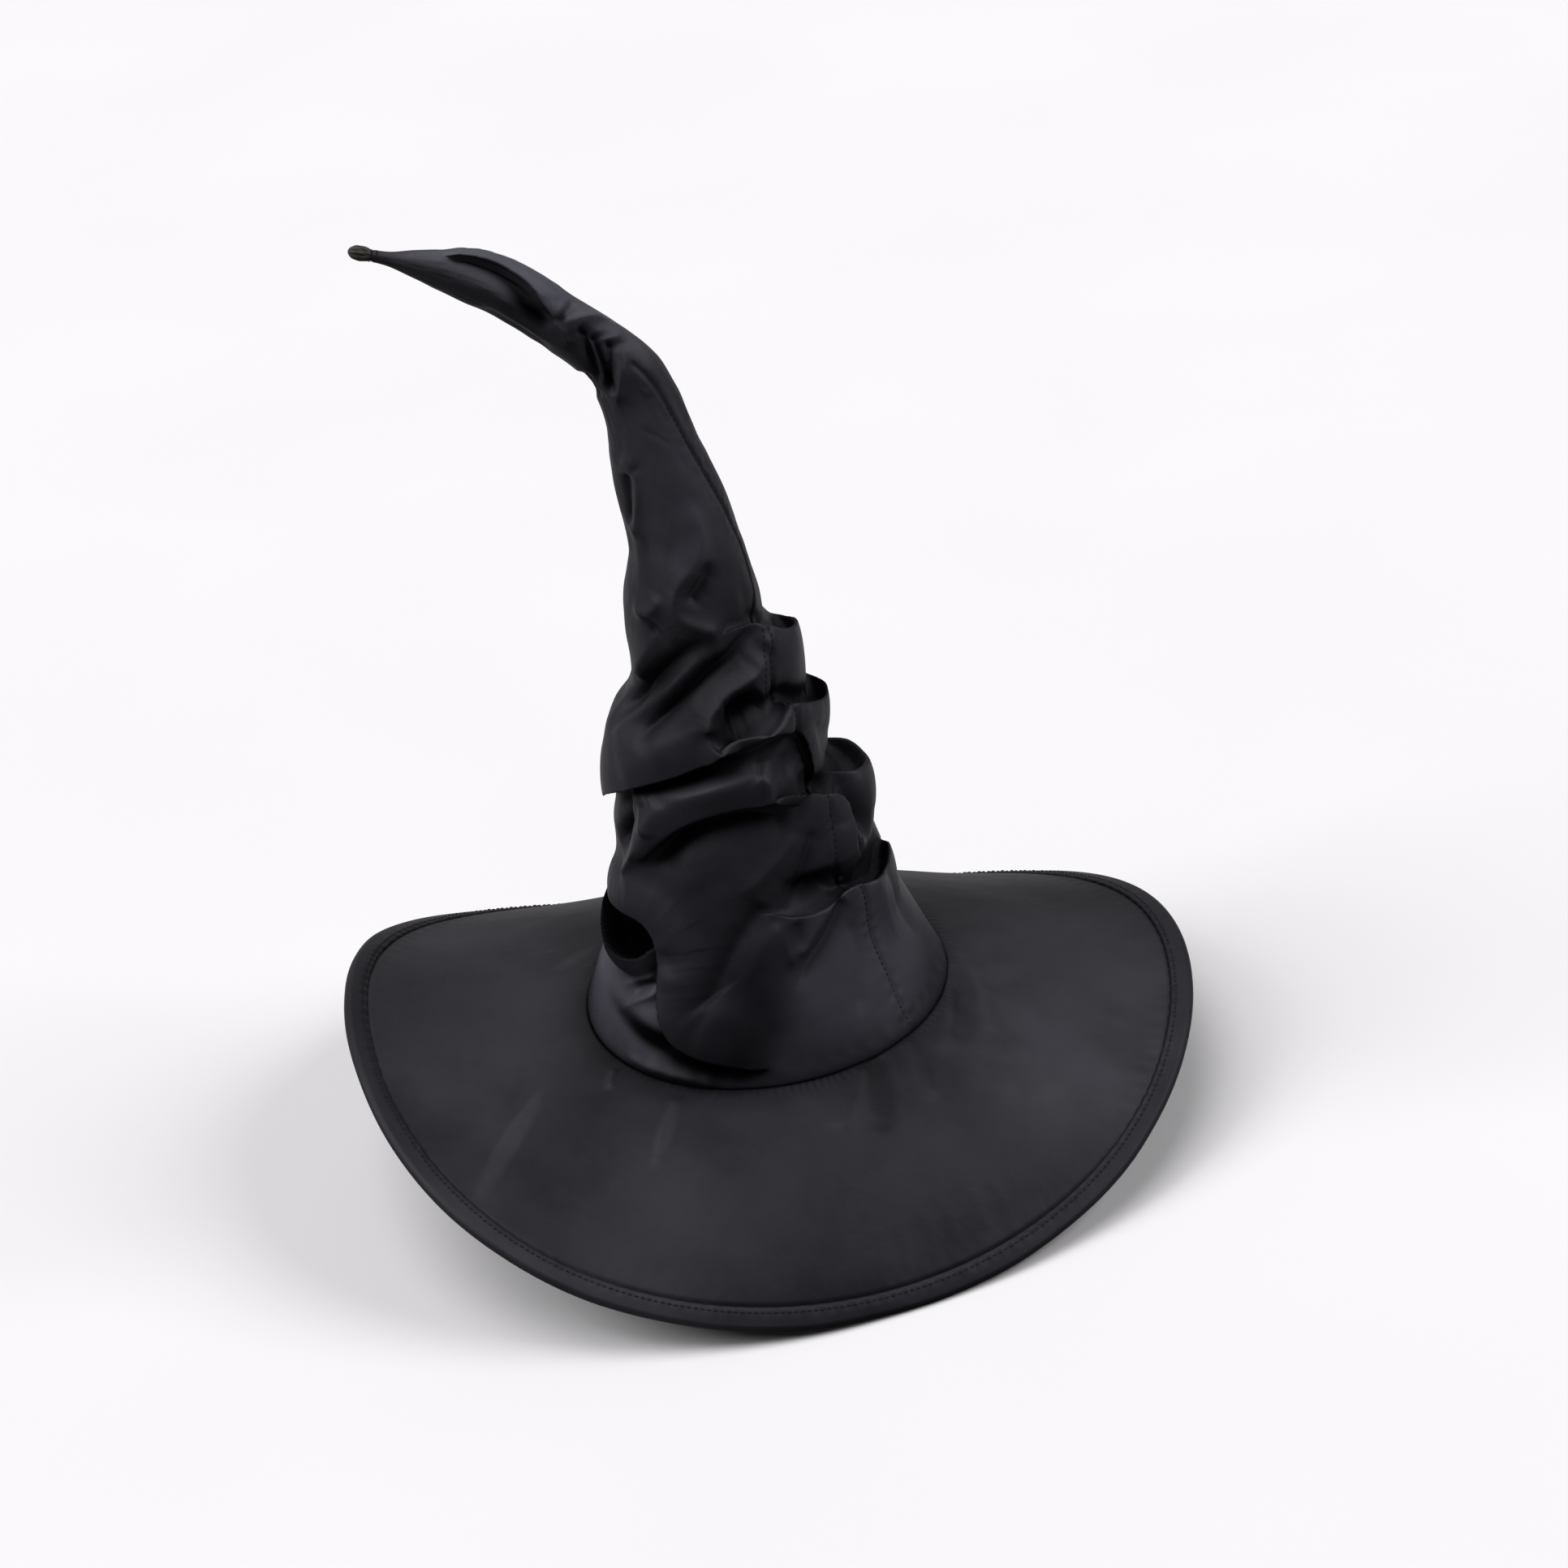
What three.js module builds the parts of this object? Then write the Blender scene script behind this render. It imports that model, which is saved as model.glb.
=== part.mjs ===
// Witch hat: a wired, foam-stiffened satin brim round a ruched satin cone that a bendable wire holds up and
// crooks over to one side. Millimetres, +Z up. The origin is the middle of the head opening, on the seam of
// crown and brim. +X is the wearer's left, -Y the front of the hat, and the tip leans to -X.
import * as THREE from 'three';

// Crown and cone
const CROWN_RADIUS = 94;
// Outer radius of the satin cone by distance up its spine from the seam.
const CONE_PROFILE = [[0, 94], [25, 85], [50, 77], [100, 64], [150, 54], [195, 43], [237, 33], [300, 22.5]];
// The tip is narrow at its foot, which sits inside the rim of the cover below it.
const TIP_PROFILE = [
  [350, 9.5], [358, 12.2], [363, 12.2], [373, 14.3], [400, 14.5], [438, 11], [466, 4.5], [472, 3.6],
];
const SPINE_POINTS = [
  [0, 0], [0, 60], [-3, 130], [-8, 236], [-14, 300], [-26, 348], [-58, 381], [-90, 403], [-131, 419],
];
const WAIST_AT = 240; // distance up the spine to the lower bend
const ELBOW_AT = 358; // and to the upper one
const SATIN = 0.7;
const COVER_THICKNESS = 2;
const LAYER_GAP = 0.5;

// Brim
const BRIM_WIDTH = 127; // from the crown seam to the bound edge, along the cloth
const BRIM_HOLE = 93;
const FOAM = 2.4;
const BINDING_WIDTH = 11;
const BRIM_WIRE_RADIUS = 1.1;
const CONE_WIRE_RADIUS = 1;

const ROUND = 48; // sides of the large rings
const { degToRad, lerp } = THREE.MathUtils;
const { cos, sin, hypot, atan2, PI } = Math;

const hat = new THREE.Group();
const satin = new THREE.MeshStandardMaterial({ color: 0x2c2b30, roughness: 0.45, metalness: 0 });
const lining = new THREE.MeshStandardMaterial({ color: 0x18181b, roughness: 0.7, metalness: 0 });
const foam = new THREE.MeshStandardMaterial({ color: 0x3a3a3c, roughness: 0.95, metalness: 0 });
const ribbon = new THREE.MeshStandardMaterial({ color: 0x1c1c1f, roughness: 0.6, metalness: 0 });
const thread = new THREE.MeshStandardMaterial({ color: 0x111113, roughness: 0.7, metalness: 0 });
const steel = new THREE.MeshStandardMaterial({ color: 0x9a9b9e, roughness: 0.35, metalness: 1 });
const label = new THREE.MeshStandardMaterial({ color: 0xd9d7d0, roughness: 0.7, metalness: 0 });

function add(name, geometry, material) {
  const mesh = new THREE.Mesh(geometry, material);
  mesh.name = name;
  hat.add(mesh);
  return mesh;
}

// The brim's slope below the horizontal, by direction round the hat: it drops at the front and back and lifts
// at the sides. A point is found along an arc from the slope at the seam to that at the edge.
const seamSlope = (angle) => degToRad(13 + 8 * cos(angle) - 1.5 * cos(2 * angle));
const saddle = (angle) => 37.5 * cos(2 * (angle - degToRad(4))) + 3 * cos(4 * angle);
const edgeSlope = (angle) => degToRad(19 + 13.5 * cos(angle) + 2 * sin(angle) - saddle(angle));
const sinc = (x) => (Math.abs(x) < 1e-6 ? 1 : sin(x) / x);

function brimPoint(angle, radius, lift) {
  const along = radius - CROWN_RADIUS;
  const turn = ((edgeSlope(angle) - seamSlope(angle)) * along) / BRIM_WIDTH;
  const middle = seamSlope(angle) + turn / 2;
  const chord = along * sinc(turn / 2);
  const slope = seamSlope(angle) + turn;
  const out = CROWN_RADIUS + chord * cos(middle) + lift * sin(slope);
  return new THREE.Vector3(out * cos(angle), out * sin(angle), -chord * sin(middle) + lift * cos(slope));
}

const spine = new THREE.CatmullRomCurve3(SPINE_POINTS.map(([x, z]) => new THREE.Vector3(x, 0, z)));
spine.arcLengthDivisions = 800;
const SPINE_LENGTH = spine.getLength();

function spinePoint(angle, radius, along) {
  const at = THREE.MathUtils.clamp(along / SPINE_LENGTH, 0, 1);
  const tangent = spine.getTangentAt(at);
  const across = new THREE.Vector3(tangent.z, 0, -tangent.x);
  return spine.getPointAt(at)
    .addScaledVector(tangent, along - at * SPINE_LENGTH)
    .addScaledVector(across, radius * cos(angle))
    .add(new THREE.Vector3(0, radius * sin(angle), 0));
}

// A closed outline of [radius, height] pairs turned round the axis, then laid on the brim or along the spine.
function turned(outline, place, sides = ROUND) {
  const points = [...outline, outline[0]].map(([radius, height]) => new THREE.Vector2(radius, height));
  const geometry = new THREE.LatheGeometry(points, sides);
  geometry.deleteAttribute('normal');
  geometry.deleteAttribute('uv');
  const position = geometry.getAttribute('position');
  for (let i = 0; i < position.count; i += 1) {
    const radius = hypot(position.getX(i), position.getZ(i));
    const angle = atan2(position.getX(i), position.getZ(i));
    const p = place(angle, radius, position.getY(i));
    position.setXYZ(i, p.x, p.y, p.z);
  }
  splitShorterWay(geometry);
  return geometry;
}

// The four-sided faces of a bent sheet are not flat. Each is split along its shorter diagonal, so that sheets
// laid one on another split alike and stay apart.
function splitShorterWay(geometry) {
  const position = geometry.getAttribute('position');
  const corners = geometry.index.array;
  const point = (i) => new THREE.Vector3().fromBufferAttribute(position, i);
  for (let i = 0; i < corners.length; i += 6) {
    const [a, b, d, c] = corners.slice(i, i + 4);
    if (point(a).distanceTo(point(c)) < point(b).distanceTo(point(d))) corners.set([a, b, c, a, c, d], i);
  }
}

// A sheet that follows the brim from one radius to another, between two distances from its upper face.
function brimSheet(inner, outer, top, bottom, steps = 5) {
  const radii = Array.from({ length: steps + 1 }, (_, i) => lerp(inner, outer, i / steps));
  const outline = [...radii.map((r) => [r, bottom]), ...radii.reverse().map((r) => [r, top])];
  return turned(outline, brimPoint);
}

// A profile's radius at a distance along the spine.
function radiusAt(profile, along) {
  const i = Math.max(1, profile.findIndex(([a]) => a >= along));
  const [[a0, r0], [a1, r1]] = [profile[i - 1], profile[i]];
  return lerp(r0, r1, (along - a0) / (a1 - a0));
}

// A shell that follows a profile between two distances, set in from it and of one thickness.
function coneShell(profile, from, to, inset, thickness, sides = ROUND) {
  const stops = [from, ...profile.map(([a]) => a).filter((a) => a > from + 4 && a < to - 4), to];
  const outer = stops.map((a) => [radiusAt(profile, a) - inset, a]);
  const inner = stops.map((a) => [radiusAt(profile, a) - inset - thickness, a]).reverse();
  return turned([...outer, ...inner], spinePoint, sides);
}

// A round rod along part of a curve; hole is the radius of a bore through it, if it has one.
function rod(path, radius, steps, hole = 0) {
  const section = new THREE.Shape().absarc(0, 0, radius, 0, 2 * PI, false);
  if (hole) section.holes.push(new THREE.Path().absarc(0, 0, hole, 0, 2 * PI, true));
  const geometry = new THREE.ExtrudeGeometry(section, { steps, extrudePath: path, curveSegments: 8 });
  geometry.deleteAttribute('normal');
  geometry.deleteAttribute('uv');
  return geometry;
}

class BrimEdge extends THREE.Curve {
  constructor(from, to, radius, lift) {
    super();
    Object.assign(this, { from, to, radius, lift });
  }

  getPoint(t) {
    return brimPoint(lerp(this.from, this.to, t), this.radius, this.lift);
  }
}

class SpinePart extends THREE.Curve {
  constructor(from, to) {
    super();
    Object.assign(this, { from, to });
  }

  getPoint(t) {
    return spinePoint(0, 0, lerp(this.from, this.to, t));
  }
}

function makeBrim() {
  const edge = CROWN_RADIUS + BRIM_WIDTH;
  const foamTop = -SATIN - LAYER_GAP;
  const foamBottom = foamTop - FOAM;
  const underTop = foamBottom - LAYER_GAP;
  const underBottom = underTop - SATIN;
  const panelEdge = edge - 6;
  add('brim_top_panel', brimSheet(BRIM_HOLE, panelEdge, 0, -SATIN), satin);
  add('brim_foam_sheet', brimSheet(BRIM_HOLE, panelEdge, foamTop, foamBottom), foam);
  add('brim_under_panel', brimSheet(BRIM_HOLE, panelEdge, underTop, underBottom), satin);

  const clear = 0.6;
  const leaf = edge - BINDING_WIDTH;
  const fold = edge - SATIN;
  const binding = [
    [leaf, clear], [fold, clear], [fold, underBottom - clear], [leaf, underBottom - clear],
    [leaf, underBottom - clear - SATIN], [edge, underBottom - clear - SATIN], [edge, clear + SATIN],
    [leaf, clear + SATIN],
  ];
  add('brim_edge_binding', turned(binding, brimPoint), satin);

  // The hoop's two ends butt together inside a crimped sleeve at the back.
  const wireRadius = edge - 3.3;
  const middle = underBottom / 2;
  const join = PI / 2;
  const gap = degToRad(0.2);
  const hoop = new BrimEdge(join + gap, join + 2 * PI - gap, wireRadius, middle);
  add('brim_wire', rod(hoop, BRIM_WIRE_RADIUS, 80), steel);
  const sleeve = degToRad(3);
  const sleevePath = new BrimEdge(join - sleeve, join + sleeve, wireRadius, middle);
  add('brim_wire_sleeve', rod(sleevePath, BRIM_WIRE_RADIUS + 0.8, 4, BRIM_WIRE_RADIUS + 0.3), steel);
}

function makeCrown() {
  const coverFoot = 1.2;
  const coverTop = WAIST_AT - 3;
  add('crown_cover', coneShell(CONE_PROFILE, coverFoot, coverTop, 0, COVER_THICKNESS - LAYER_GAP / 2), satin);
  const stiffenerInset = COVER_THICKNESS + 0.3;
  const stiffener = 1.2;
  add('crown_stiffener', coneShell(CONE_PROFILE, coverFoot, 190, stiffenerInset, stiffener), foam);

  // The lining is a closed cap: its foot hangs a little below the seam, inside the sweatband's turn.
  const liningInset = stiffenerInset + stiffener + LAYER_GAP;
  const liningTop = 200;
  const stops = [0, 25, 50, 100, 150, liningTop];
  const skin = (inset) => stops.map((a) => [radiusAt(CONE_PROFILE, a) - inset, a]);
  const [outside, inside] = [skin(liningInset), skin(liningInset + SATIN)];
  const under = liningTop - SATIN;
  const cap = [
    [outside[0][0], -5], ...outside, [0, liningTop],
    [0, under], [inside.at(-1)[0], under], ...inside.slice(0, -1).reverse(), [inside[0][0], -5],
  ];
  add('crown_lining', turned(cap, spinePoint), lining);

  const bandInset = liningInset + SATIN + LAYER_GAP;
  const bandTop = 30;
  const band = 1;
  const r = (a) => radiusAt(CONE_PROFILE, a) - bandInset;
  const sweatband = [
    [CROWN_RADIUS - bandInset, -7], [r(0), 0], [r(25), 25], [r(bandTop), bandTop],
    [r(bandTop) - band, bandTop], [r(25) - band, 25], [r(0) - band, 0], [CROWN_RADIUS - bandInset - band, -7],
  ];
  add('sweatband', turned(sweatband, spinePoint), ribbon);

  // A tape binds the raw edges of the crown and brim where they are sewn together.
  const [outer, inner, low, high] = [CROWN_RADIUS - 3.2, CROWN_RADIUS - 3.7, -7, 0.5];
  const tape = [[inner, low], [outer, low], [outer, high], [inner, high]];
  add('crown_seam_tape', turned(tape, spinePoint), ribbon);

  // A folded label sewn to the back of the sweatband, blank.
  const labelHeight = 14;
  const tag = add('blank_label', new THREE.BoxGeometry(26, 0.5, labelHeight), label);
  const leanBack = atan2(CONE_PROFILE[0][1] - CONE_PROFILE[1][1], CONE_PROFILE[1][0]);
  tag.rotation.x = leanBack;
  tag.position.set(0, r(13) - band - 2, 13);
}

// The seam of the cone runs up its right front; each pleat of the ruching is caught down on it by a bar tack.
function makePleatTacks() {
  const tacks = [
    ['pleat_tack_1', 34, 72], ['pleat_tack_2', 36, 130], ['pleat_tack_3', 33, 181], ['pleat_tack_4', 42, 224],
  ];
  for (const [name, fromFront, along] of tacks) {
    const angle = degToRad(fromFront - 90);
    const tack = add(name, new THREE.CapsuleGeometry(0.9, 5, 3, 8), thread);
    tack.position.copy(spinePoint(angle, radiusAt(CONE_PROFILE, along) + 1.6, along));
    tack.rotation.z = angle;
  }
}

// The foot of each upper cover sits inside the rim of the one below, with room to tilt about the bend.
function makeCone() {
  const rim = ELBOW_AT - 2;
  const outline = [
    [24.5, WAIST_AT - 13], [29.8, WAIST_AT + 2], [22.5, 300], [15.4, rim],
    [13.8, rim], [20.7, 300], [28, WAIST_AT + 2], [22.7, WAIST_AT - 13],
  ];
  add('cone_cover', turned(outline, spinePoint, 36), satin);
  const [foot, end] = [TIP_PROFILE.at(0)[0], TIP_PROFILE.at(-1)[0]];
  add('tip_cover', coneShell(TIP_PROFILE, foot, end, 0, 1.6, 24), satin);
}

// The wire stands in a small plate on top of the lining. It is one wire, parted where it bends.
function makeConeWire() {
  const plate = 1.6;
  const foot = 200.4;
  const disc = [[0, foot], [16, foot], [16, foot + plate], [0, foot + plate]];
  add('wire_base_plate', turned(disc, spinePoint, 24), steel);
  const partGap = 1.6;
  const stretches = [
    ['cone_wire_lower', foot + plate + 0.3, WAIST_AT - partGap, 4],
    ['cone_wire_middle', WAIST_AT + partGap, ELBOW_AT - partGap, 12],
    ['cone_wire_upper', ELBOW_AT + partGap, 470, 12],
  ];
  for (const [name, from, to, steps] of stretches) {
    add(name, rod(new SpinePart(from, to), CONE_WIRE_RADIUS, steps), steel);
  }
  const knot = [[0, 473], [2.2, 473.4], [4, 476], [4.4, 480], [3.4, 484], [1.6, 486.4], [0, 487]];
  add('tip_knot', turned(knot, spinePoint, 16), satin);
}

makeBrim();
makeCrown();
makePleatTacks();
makeCone();
makeConeWire();

export default hat;
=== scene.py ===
"""Looks of the witch hat: black polyester satin, ruched on the cone, over a foam-stiffened brim with a
bound, wired edge. Lengths are in millimetres until a mesh is made, and a place on the cone is (degrees
round from the front towards the wearer's left, distance up the spine from the crown seam)."""

import math

import bpy
import numpy as np
from mathutils import Matrix, Vector


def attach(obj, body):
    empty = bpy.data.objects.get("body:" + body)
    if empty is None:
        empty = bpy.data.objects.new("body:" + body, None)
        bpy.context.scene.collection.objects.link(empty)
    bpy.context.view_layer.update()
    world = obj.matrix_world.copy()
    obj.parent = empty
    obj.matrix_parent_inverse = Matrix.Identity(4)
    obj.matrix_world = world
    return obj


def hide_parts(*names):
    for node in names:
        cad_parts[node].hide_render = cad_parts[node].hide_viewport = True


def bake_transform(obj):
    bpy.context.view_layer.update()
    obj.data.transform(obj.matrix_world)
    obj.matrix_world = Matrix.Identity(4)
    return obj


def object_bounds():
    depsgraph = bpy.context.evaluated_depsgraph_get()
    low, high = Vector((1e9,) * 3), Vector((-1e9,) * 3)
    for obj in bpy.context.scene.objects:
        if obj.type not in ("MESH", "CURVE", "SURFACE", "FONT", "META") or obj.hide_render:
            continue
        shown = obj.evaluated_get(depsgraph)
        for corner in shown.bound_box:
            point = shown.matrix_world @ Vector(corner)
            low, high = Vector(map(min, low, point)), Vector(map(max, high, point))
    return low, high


MM = 0.001

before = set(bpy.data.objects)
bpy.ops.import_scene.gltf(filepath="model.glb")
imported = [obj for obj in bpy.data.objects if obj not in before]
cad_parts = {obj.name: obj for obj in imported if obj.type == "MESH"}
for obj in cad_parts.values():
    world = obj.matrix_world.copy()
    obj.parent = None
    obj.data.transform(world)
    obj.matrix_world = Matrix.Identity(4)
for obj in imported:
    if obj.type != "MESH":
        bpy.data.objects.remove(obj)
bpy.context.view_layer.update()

# ---------------------------------------------------------------- driving sizes, as the CAD part has them
CROWN_RADIUS = 94.0
BRIM_WIDTH = 127.0
BRIM_EDGE = CROWN_RADIUS + BRIM_WIDTH
BRIM_THICKNESS = 4.8
FOAM_GAP = 0.9
WAIST_AT = 240.0
ELBOW_AT = 358.0
CONE_LENGTH = 476.0
LINING_TOP = 165.0
BAND_WIDTH = 25.0
LABEL_WIDTH, LABEL_HEIGHT, LABEL_TOP = 26.0, 14.0, 21.0
# Where each pleat is tacked to the seam
TACKS = [(44, 82), (50, 127), (46, 177), (58, 213)]
# The line the cone stands on, as (x, z)
SPINE = [(0, 0), (0, 60), (-3, 130), (-8, 236), (-14, 300), (-26, 348), (-58, 381), (-90, 403), (-131, 419)]

# ---------------------------------------------------------------- looks
# Creases in the brim's satin: points of (degrees from +X, radius), height and half width
BRIM_CREASES = [
    ([(-148.5, 141), (-144, 166), (-138, 199)], 0.9, 4.0),
    ([(-119.5, 107), (-118.5, 124), (-117, 141)], 0.8, 3.6),
    ([(-143, 103), (-140, 110)], 1.0, 2.6),
    ([(153, 126), (155, 112), (156.5, 99)], 0.8, 2.4),
    ([(-9, 100), (-20, 106), (-32, 114)], -1.6, 6),
    ([(4, 124), (-6, 146), (-14, 168)], 1.3, 14),
    ([(-18, 122), (-24, 140)], -0.8, 8),
    ([(-59, 99), (-63, 112), (-68, 128)], -1.6, 4.5),
    ([(-66, 99), (-71, 112), (-76, 124)], 1.3, 5),
    ([(-48, 99), (-50, 110), (-54, 124)], 1.3, 5),
    ([(-2, 102), (-13, 112), (-26, 122)], 1.3, 6),
    ([(-20, 98), (-30, 104), (-40, 110)], 0.9, 5),
]
# Painted light on the satin, as patches of tone: painted sheen, and painted shade in deep folds, pockets
# and creases: (place, half sizes, angle in degrees, change of tone). On the cone a place is degrees from
# the front and mm up the spine; on the brim it is mm across and back.
CONE_PAINTED_SHEEN_AND_SHADE = [
    ((-6, 104), (52, 44), 0, 0.85),
    ((-30, 176), (46, 20), 20, 0.9),
    ((-16, 36), (24, 40), -25, 0.45),
    ((-20, 196), (46, 26), 20, 0.65),
    ((42, 42), (38, 34), 0, 2.15),
    ((-66, 30), (34, 30), 0, 2.7),
    ((10, 300), (60, 60), 0, 1.6),
    ((72, 408), (56, 60), 0, 3.0),
    ((-68, 57), (28, 17), 0, 0.02),
    ((-96, 69), (22, 13), -35, 0.03),
    ((-34, 15), (36, 7), -17, 0.05),
    ((14, 184), (14, 6), 10, 0.2),
]
# Painted sheen on the brim's raised sides and crests, and painted shade along its dart creases.
BRIM_PAINTED_SHEEN_AND_SHADE = [
    ((-165, 0), (75, 110), 0, 1.9),
    ((150, -30), (75, 95), 0, 1.9),
    ((-134, -103), (38, 5.5), 65, 1.4),
    ((-58, -109), (20, 5), 71, 1.35),
    ((-83, -66), (9, 4.5), 75, 1.35),
    ((-101, 48), (16, 5), 40, 1.25),
    ((122, -46), (46, 12), -35, 1.2),
    ((117, -14), (22, 9), 25, 1.2),
    ((100, -40), (26, 8), 85, 0.75),
    ((50, -103), (24, 8), 95, 0.75),
    ((152, -78), (40, 10), -25, 1.15),
]
PATCH_EDGE = (0.45, 1.25)  # a patch of tone fades out between these shares of its half sizes
JOIN_AT = math.radians(216)  # where the binding's ends meet, round from +X
BINDING_MIDDLE = 215.0  # radius of the middle of the binding's visible leaf
CLOTH_GAP = 0.9  # mm from the room inside the crown to the cloth that hangs in it
WAIST_BEND, ELBOW_BEND = (32, 34), (24, 16)  # mm of cloth below and above each joint
PUCKER_LENGTH = 12.35  # mm from one pucker to the next, round the crown's foot
BLEND = 3.0  # mm of a fold's path over which its depth and direction are averaged
FLOOR_GREY = 0.18  # so that the floor comes out nearly white


# ---------------------------------------------------------------- small mathematics
def smooth(low, high, x):
    """0 below low, 1 above high and an S-curve between."""
    t = np.clip((x - low) / (high - low), 0, 1)
    return t * t * (3 - 2 * t)


def curve_through(points, spacing):
    """A smooth line through points, as samples about spacing apart."""
    p = np.array(points, float)
    p = np.vstack([2 * p[0] - p[1], p, 2 * p[-1] - p[-2]])
    samples = []
    for a, b, c, d in zip(p, p[1:], p[2:], p[3:]):
        count = max(2, int(np.linalg.norm(c - b) / spacing))
        t = np.linspace(0, 1, count, endpoint=False)[:, None]
        samples.append(
            0.5 * (2 * b + (c - a) * t + (2 * a - 5 * b + 4 * c - d) * t**2 + (3 * b - a - 3 * c + d) * t**3)
        )
    return np.vstack(samples + [p[-2][None]])


def value_noise(x, y, period_x, seed):
    """Smooth noise from -1 to 1 over a plane; it repeats after period_x whole cells in x."""
    table = np.random.default_rng(seed).uniform(-1, 1, (256, 256))
    ix, iy = np.floor(x).astype(int), np.floor(y).astype(int)
    fx, fy = x - ix, y - iy
    fx, fy = fx * fx * (3 - 2 * fx), fy * fy * (3 - 2 * fy)
    x0, x1 = ix % period_x, (ix + 1) % period_x
    a = table[x0, iy % 256] * (1 - fx) + table[x1, iy % 256] * fx
    b = table[x0, (iy + 1) % 256] * (1 - fx) + table[x1, (iy + 1) % 256] * fx
    return a * (1 - fy) + b * fy


# ---------------------------------------------------------------- meshes and materials
def add_object(name, data):
    made = bpy.data.objects.new(name, data)
    bpy.context.scene.collection.objects.link(made)
    return made


def mesh_from_grid(name, points, closed=True, uv=None, normals=None):
    """A quad mesh from an array of rows of points in mm; closed joins each row's end to its start."""
    rows, columns = points.shape[:2]
    index = np.arange(rows * columns).reshape(rows, columns)
    right = np.roll(index, -1, axis=1) if closed else index[:, 1:]
    left = index if closed else index[:, :-1]
    faces = np.stack([left[:-1], right[:-1], right[1:], left[1:]], -1).reshape(-1, 4)
    mesh = bpy.data.meshes.new(name)
    mesh.vertices.add(rows * columns)
    mesh.vertices.foreach_set("co", (points * MM).astype(np.float32).ravel())
    mesh.loops.add(faces.size)
    mesh.loops.foreach_set("vertex_index", faces.ravel().astype(np.int32))
    mesh.polygons.add(len(faces))
    mesh.polygons.foreach_set("loop_start", np.arange(0, faces.size, 4, dtype=np.int32))
    mesh.update(calc_edges=True)
    mesh.polygons.foreach_set("use_smooth", np.ones(len(faces), bool))
    if uv is not None:
        layer = mesh.uv_layers.new(name="cloth")
        corner = uv.reshape(-1, 2)[faces]
        if closed:
            once_round = uv[0, -1, 0] + (uv[0, -1, 0] - uv[0, -2, 0]) - uv[0, 0, 0]
            corner[faces[:, 1] % columns == 0, 1:3, 0] += once_round
        layer.data.foreach_set("uv", corner.astype(np.float32).ravel())
    if normals is not None:
        mesh.normals_split_custom_set_from_vertices(normals.reshape(-1, 3).tolist())
    return add_object(name, mesh)


def thread_mesh(name, strands, radius, sides=6):
    """Threads as one mesh: each strand is a row of points in mm, wrapped in a tube with closed ends."""
    vertices, faces = [], []
    turn = np.linspace(0, 2 * np.pi, sides, endpoint=False)
    for strand in strands:
        along = np.gradient(strand, axis=0)
        along /= np.linalg.norm(along, axis=1, keepdims=True)
        helper = np.array([0.0, 0.0, 1.0]) if abs(along[:, 2]).max() < 0.9 else np.array([1.0, 0.0, 0.0])
        side = np.cross(along, helper)
        side /= np.linalg.norm(side, axis=1, keepdims=True)
        other = np.cross(along, side)
        first = len(vertices)
        for centre, s, o in zip(strand, side, other):
            vertices += [tuple(centre + radius * (math.cos(t) * s + math.sin(t) * o)) for t in turn]
        for ring in range(len(strand) - 1):
            for k in range(sides):
                a, b = first + ring * sides + k, first + ring * sides + (k + 1) % sides
                faces.append((a, a + sides, b + sides, b))
        last = first + (len(strand) - 1) * sides
        faces.append(tuple(range(first, first + sides)))
        faces.append(tuple(range(last + sides - 1, last - 1, -1)))
    mesh = bpy.data.meshes.new(name)
    mesh.from_pydata([tuple(c * MM for c in v) for v in vertices], [], faces)
    mesh.polygons.foreach_set("use_smooth", np.ones(len(faces), bool))
    return add_object(name, mesh)


def stitches(name, line, normals, material, body, length=2.4, gap=0.9, radius=0.2):
    """A row of stitches along a line of points in mm: short threads that dip into the cloth at their ends."""
    place = np.r_[0, np.cumsum(np.linalg.norm(np.diff(line, axis=0), axis=1))]
    t = np.linspace(0, 1, 6)
    stand = radius * (0.9 - 2.2 * (2 * t - 1)[:, None] ** 4)
    strands = []
    for start in np.arange(gap, place[-1] - length, length + gap):
        at = start + t * length
        point = np.stack([np.interp(at, place, line[:, k]) for k in range(3)], -1)
        normal = np.stack([np.interp(at, place, normals[:, k]) for k in range(3)], -1)
        strands.append(point + normal * stand)
    sew(name, strands, radius, material, body)


def closed_row(row):
    """A row of a closed grid with its first value repeated at its end."""
    return np.vstack([row, row[:1]])


def grid_normals(points, closed=True):
    """Unit normals of a grid of points, from the crossed steps along and round it."""
    if closed:
        around = np.roll(points, -1, 1) - np.roll(points, 1, 1)
    else:
        around = np.gradient(points, axis=1)
    along = np.gradient(points, axis=0)
    n = np.cross(around, along)
    return n / np.maximum(np.linalg.norm(n, axis=-1, keepdims=True), 1e-9)


# ---------------------------------------------------------------- the cone's surface before its folds
class Spine:
    """The line the cone stands on, in the plane y = 0."""

    def __init__(self):
        self.points = curve_through(SPINE, 1.0)
        steps = np.linalg.norm(np.diff(self.points, axis=0), axis=1)
        self.length = np.r_[0, np.cumsum(steps)]

    def at(self, v):
        """Places at heights v up the line, and the line's direction there, averaged over 6 mm each way."""
        end, half = self.length[-1], 6.0
        middle = np.clip(v, half, end - half)
        (x, z), above, below = (
            [np.interp(height, self.length, self.points[:, k]) for k in (0, 1)]
            for height in (v, middle + half, middle - half)
        )
        tx, tz = above[0] - below[0], above[1] - below[1]
        long = np.hypot(tx, tz)
        tx, tz = tx / long, tz / long
        beyond = np.maximum(v - end, 0) + np.minimum(v, 0)
        return x + beyond * tx, z + beyond * tz, tx, tz

    def round_it(self, turn, v, radius):
        """Points round the line, at angles turn from the front, heights v and radii."""
        x, z, tx, tz = self.at(v)
        side, front = np.sin(turn) * radius, -np.cos(turn) * radius
        return np.stack([x + tz * side, front, z - tx * side], -1)


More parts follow.
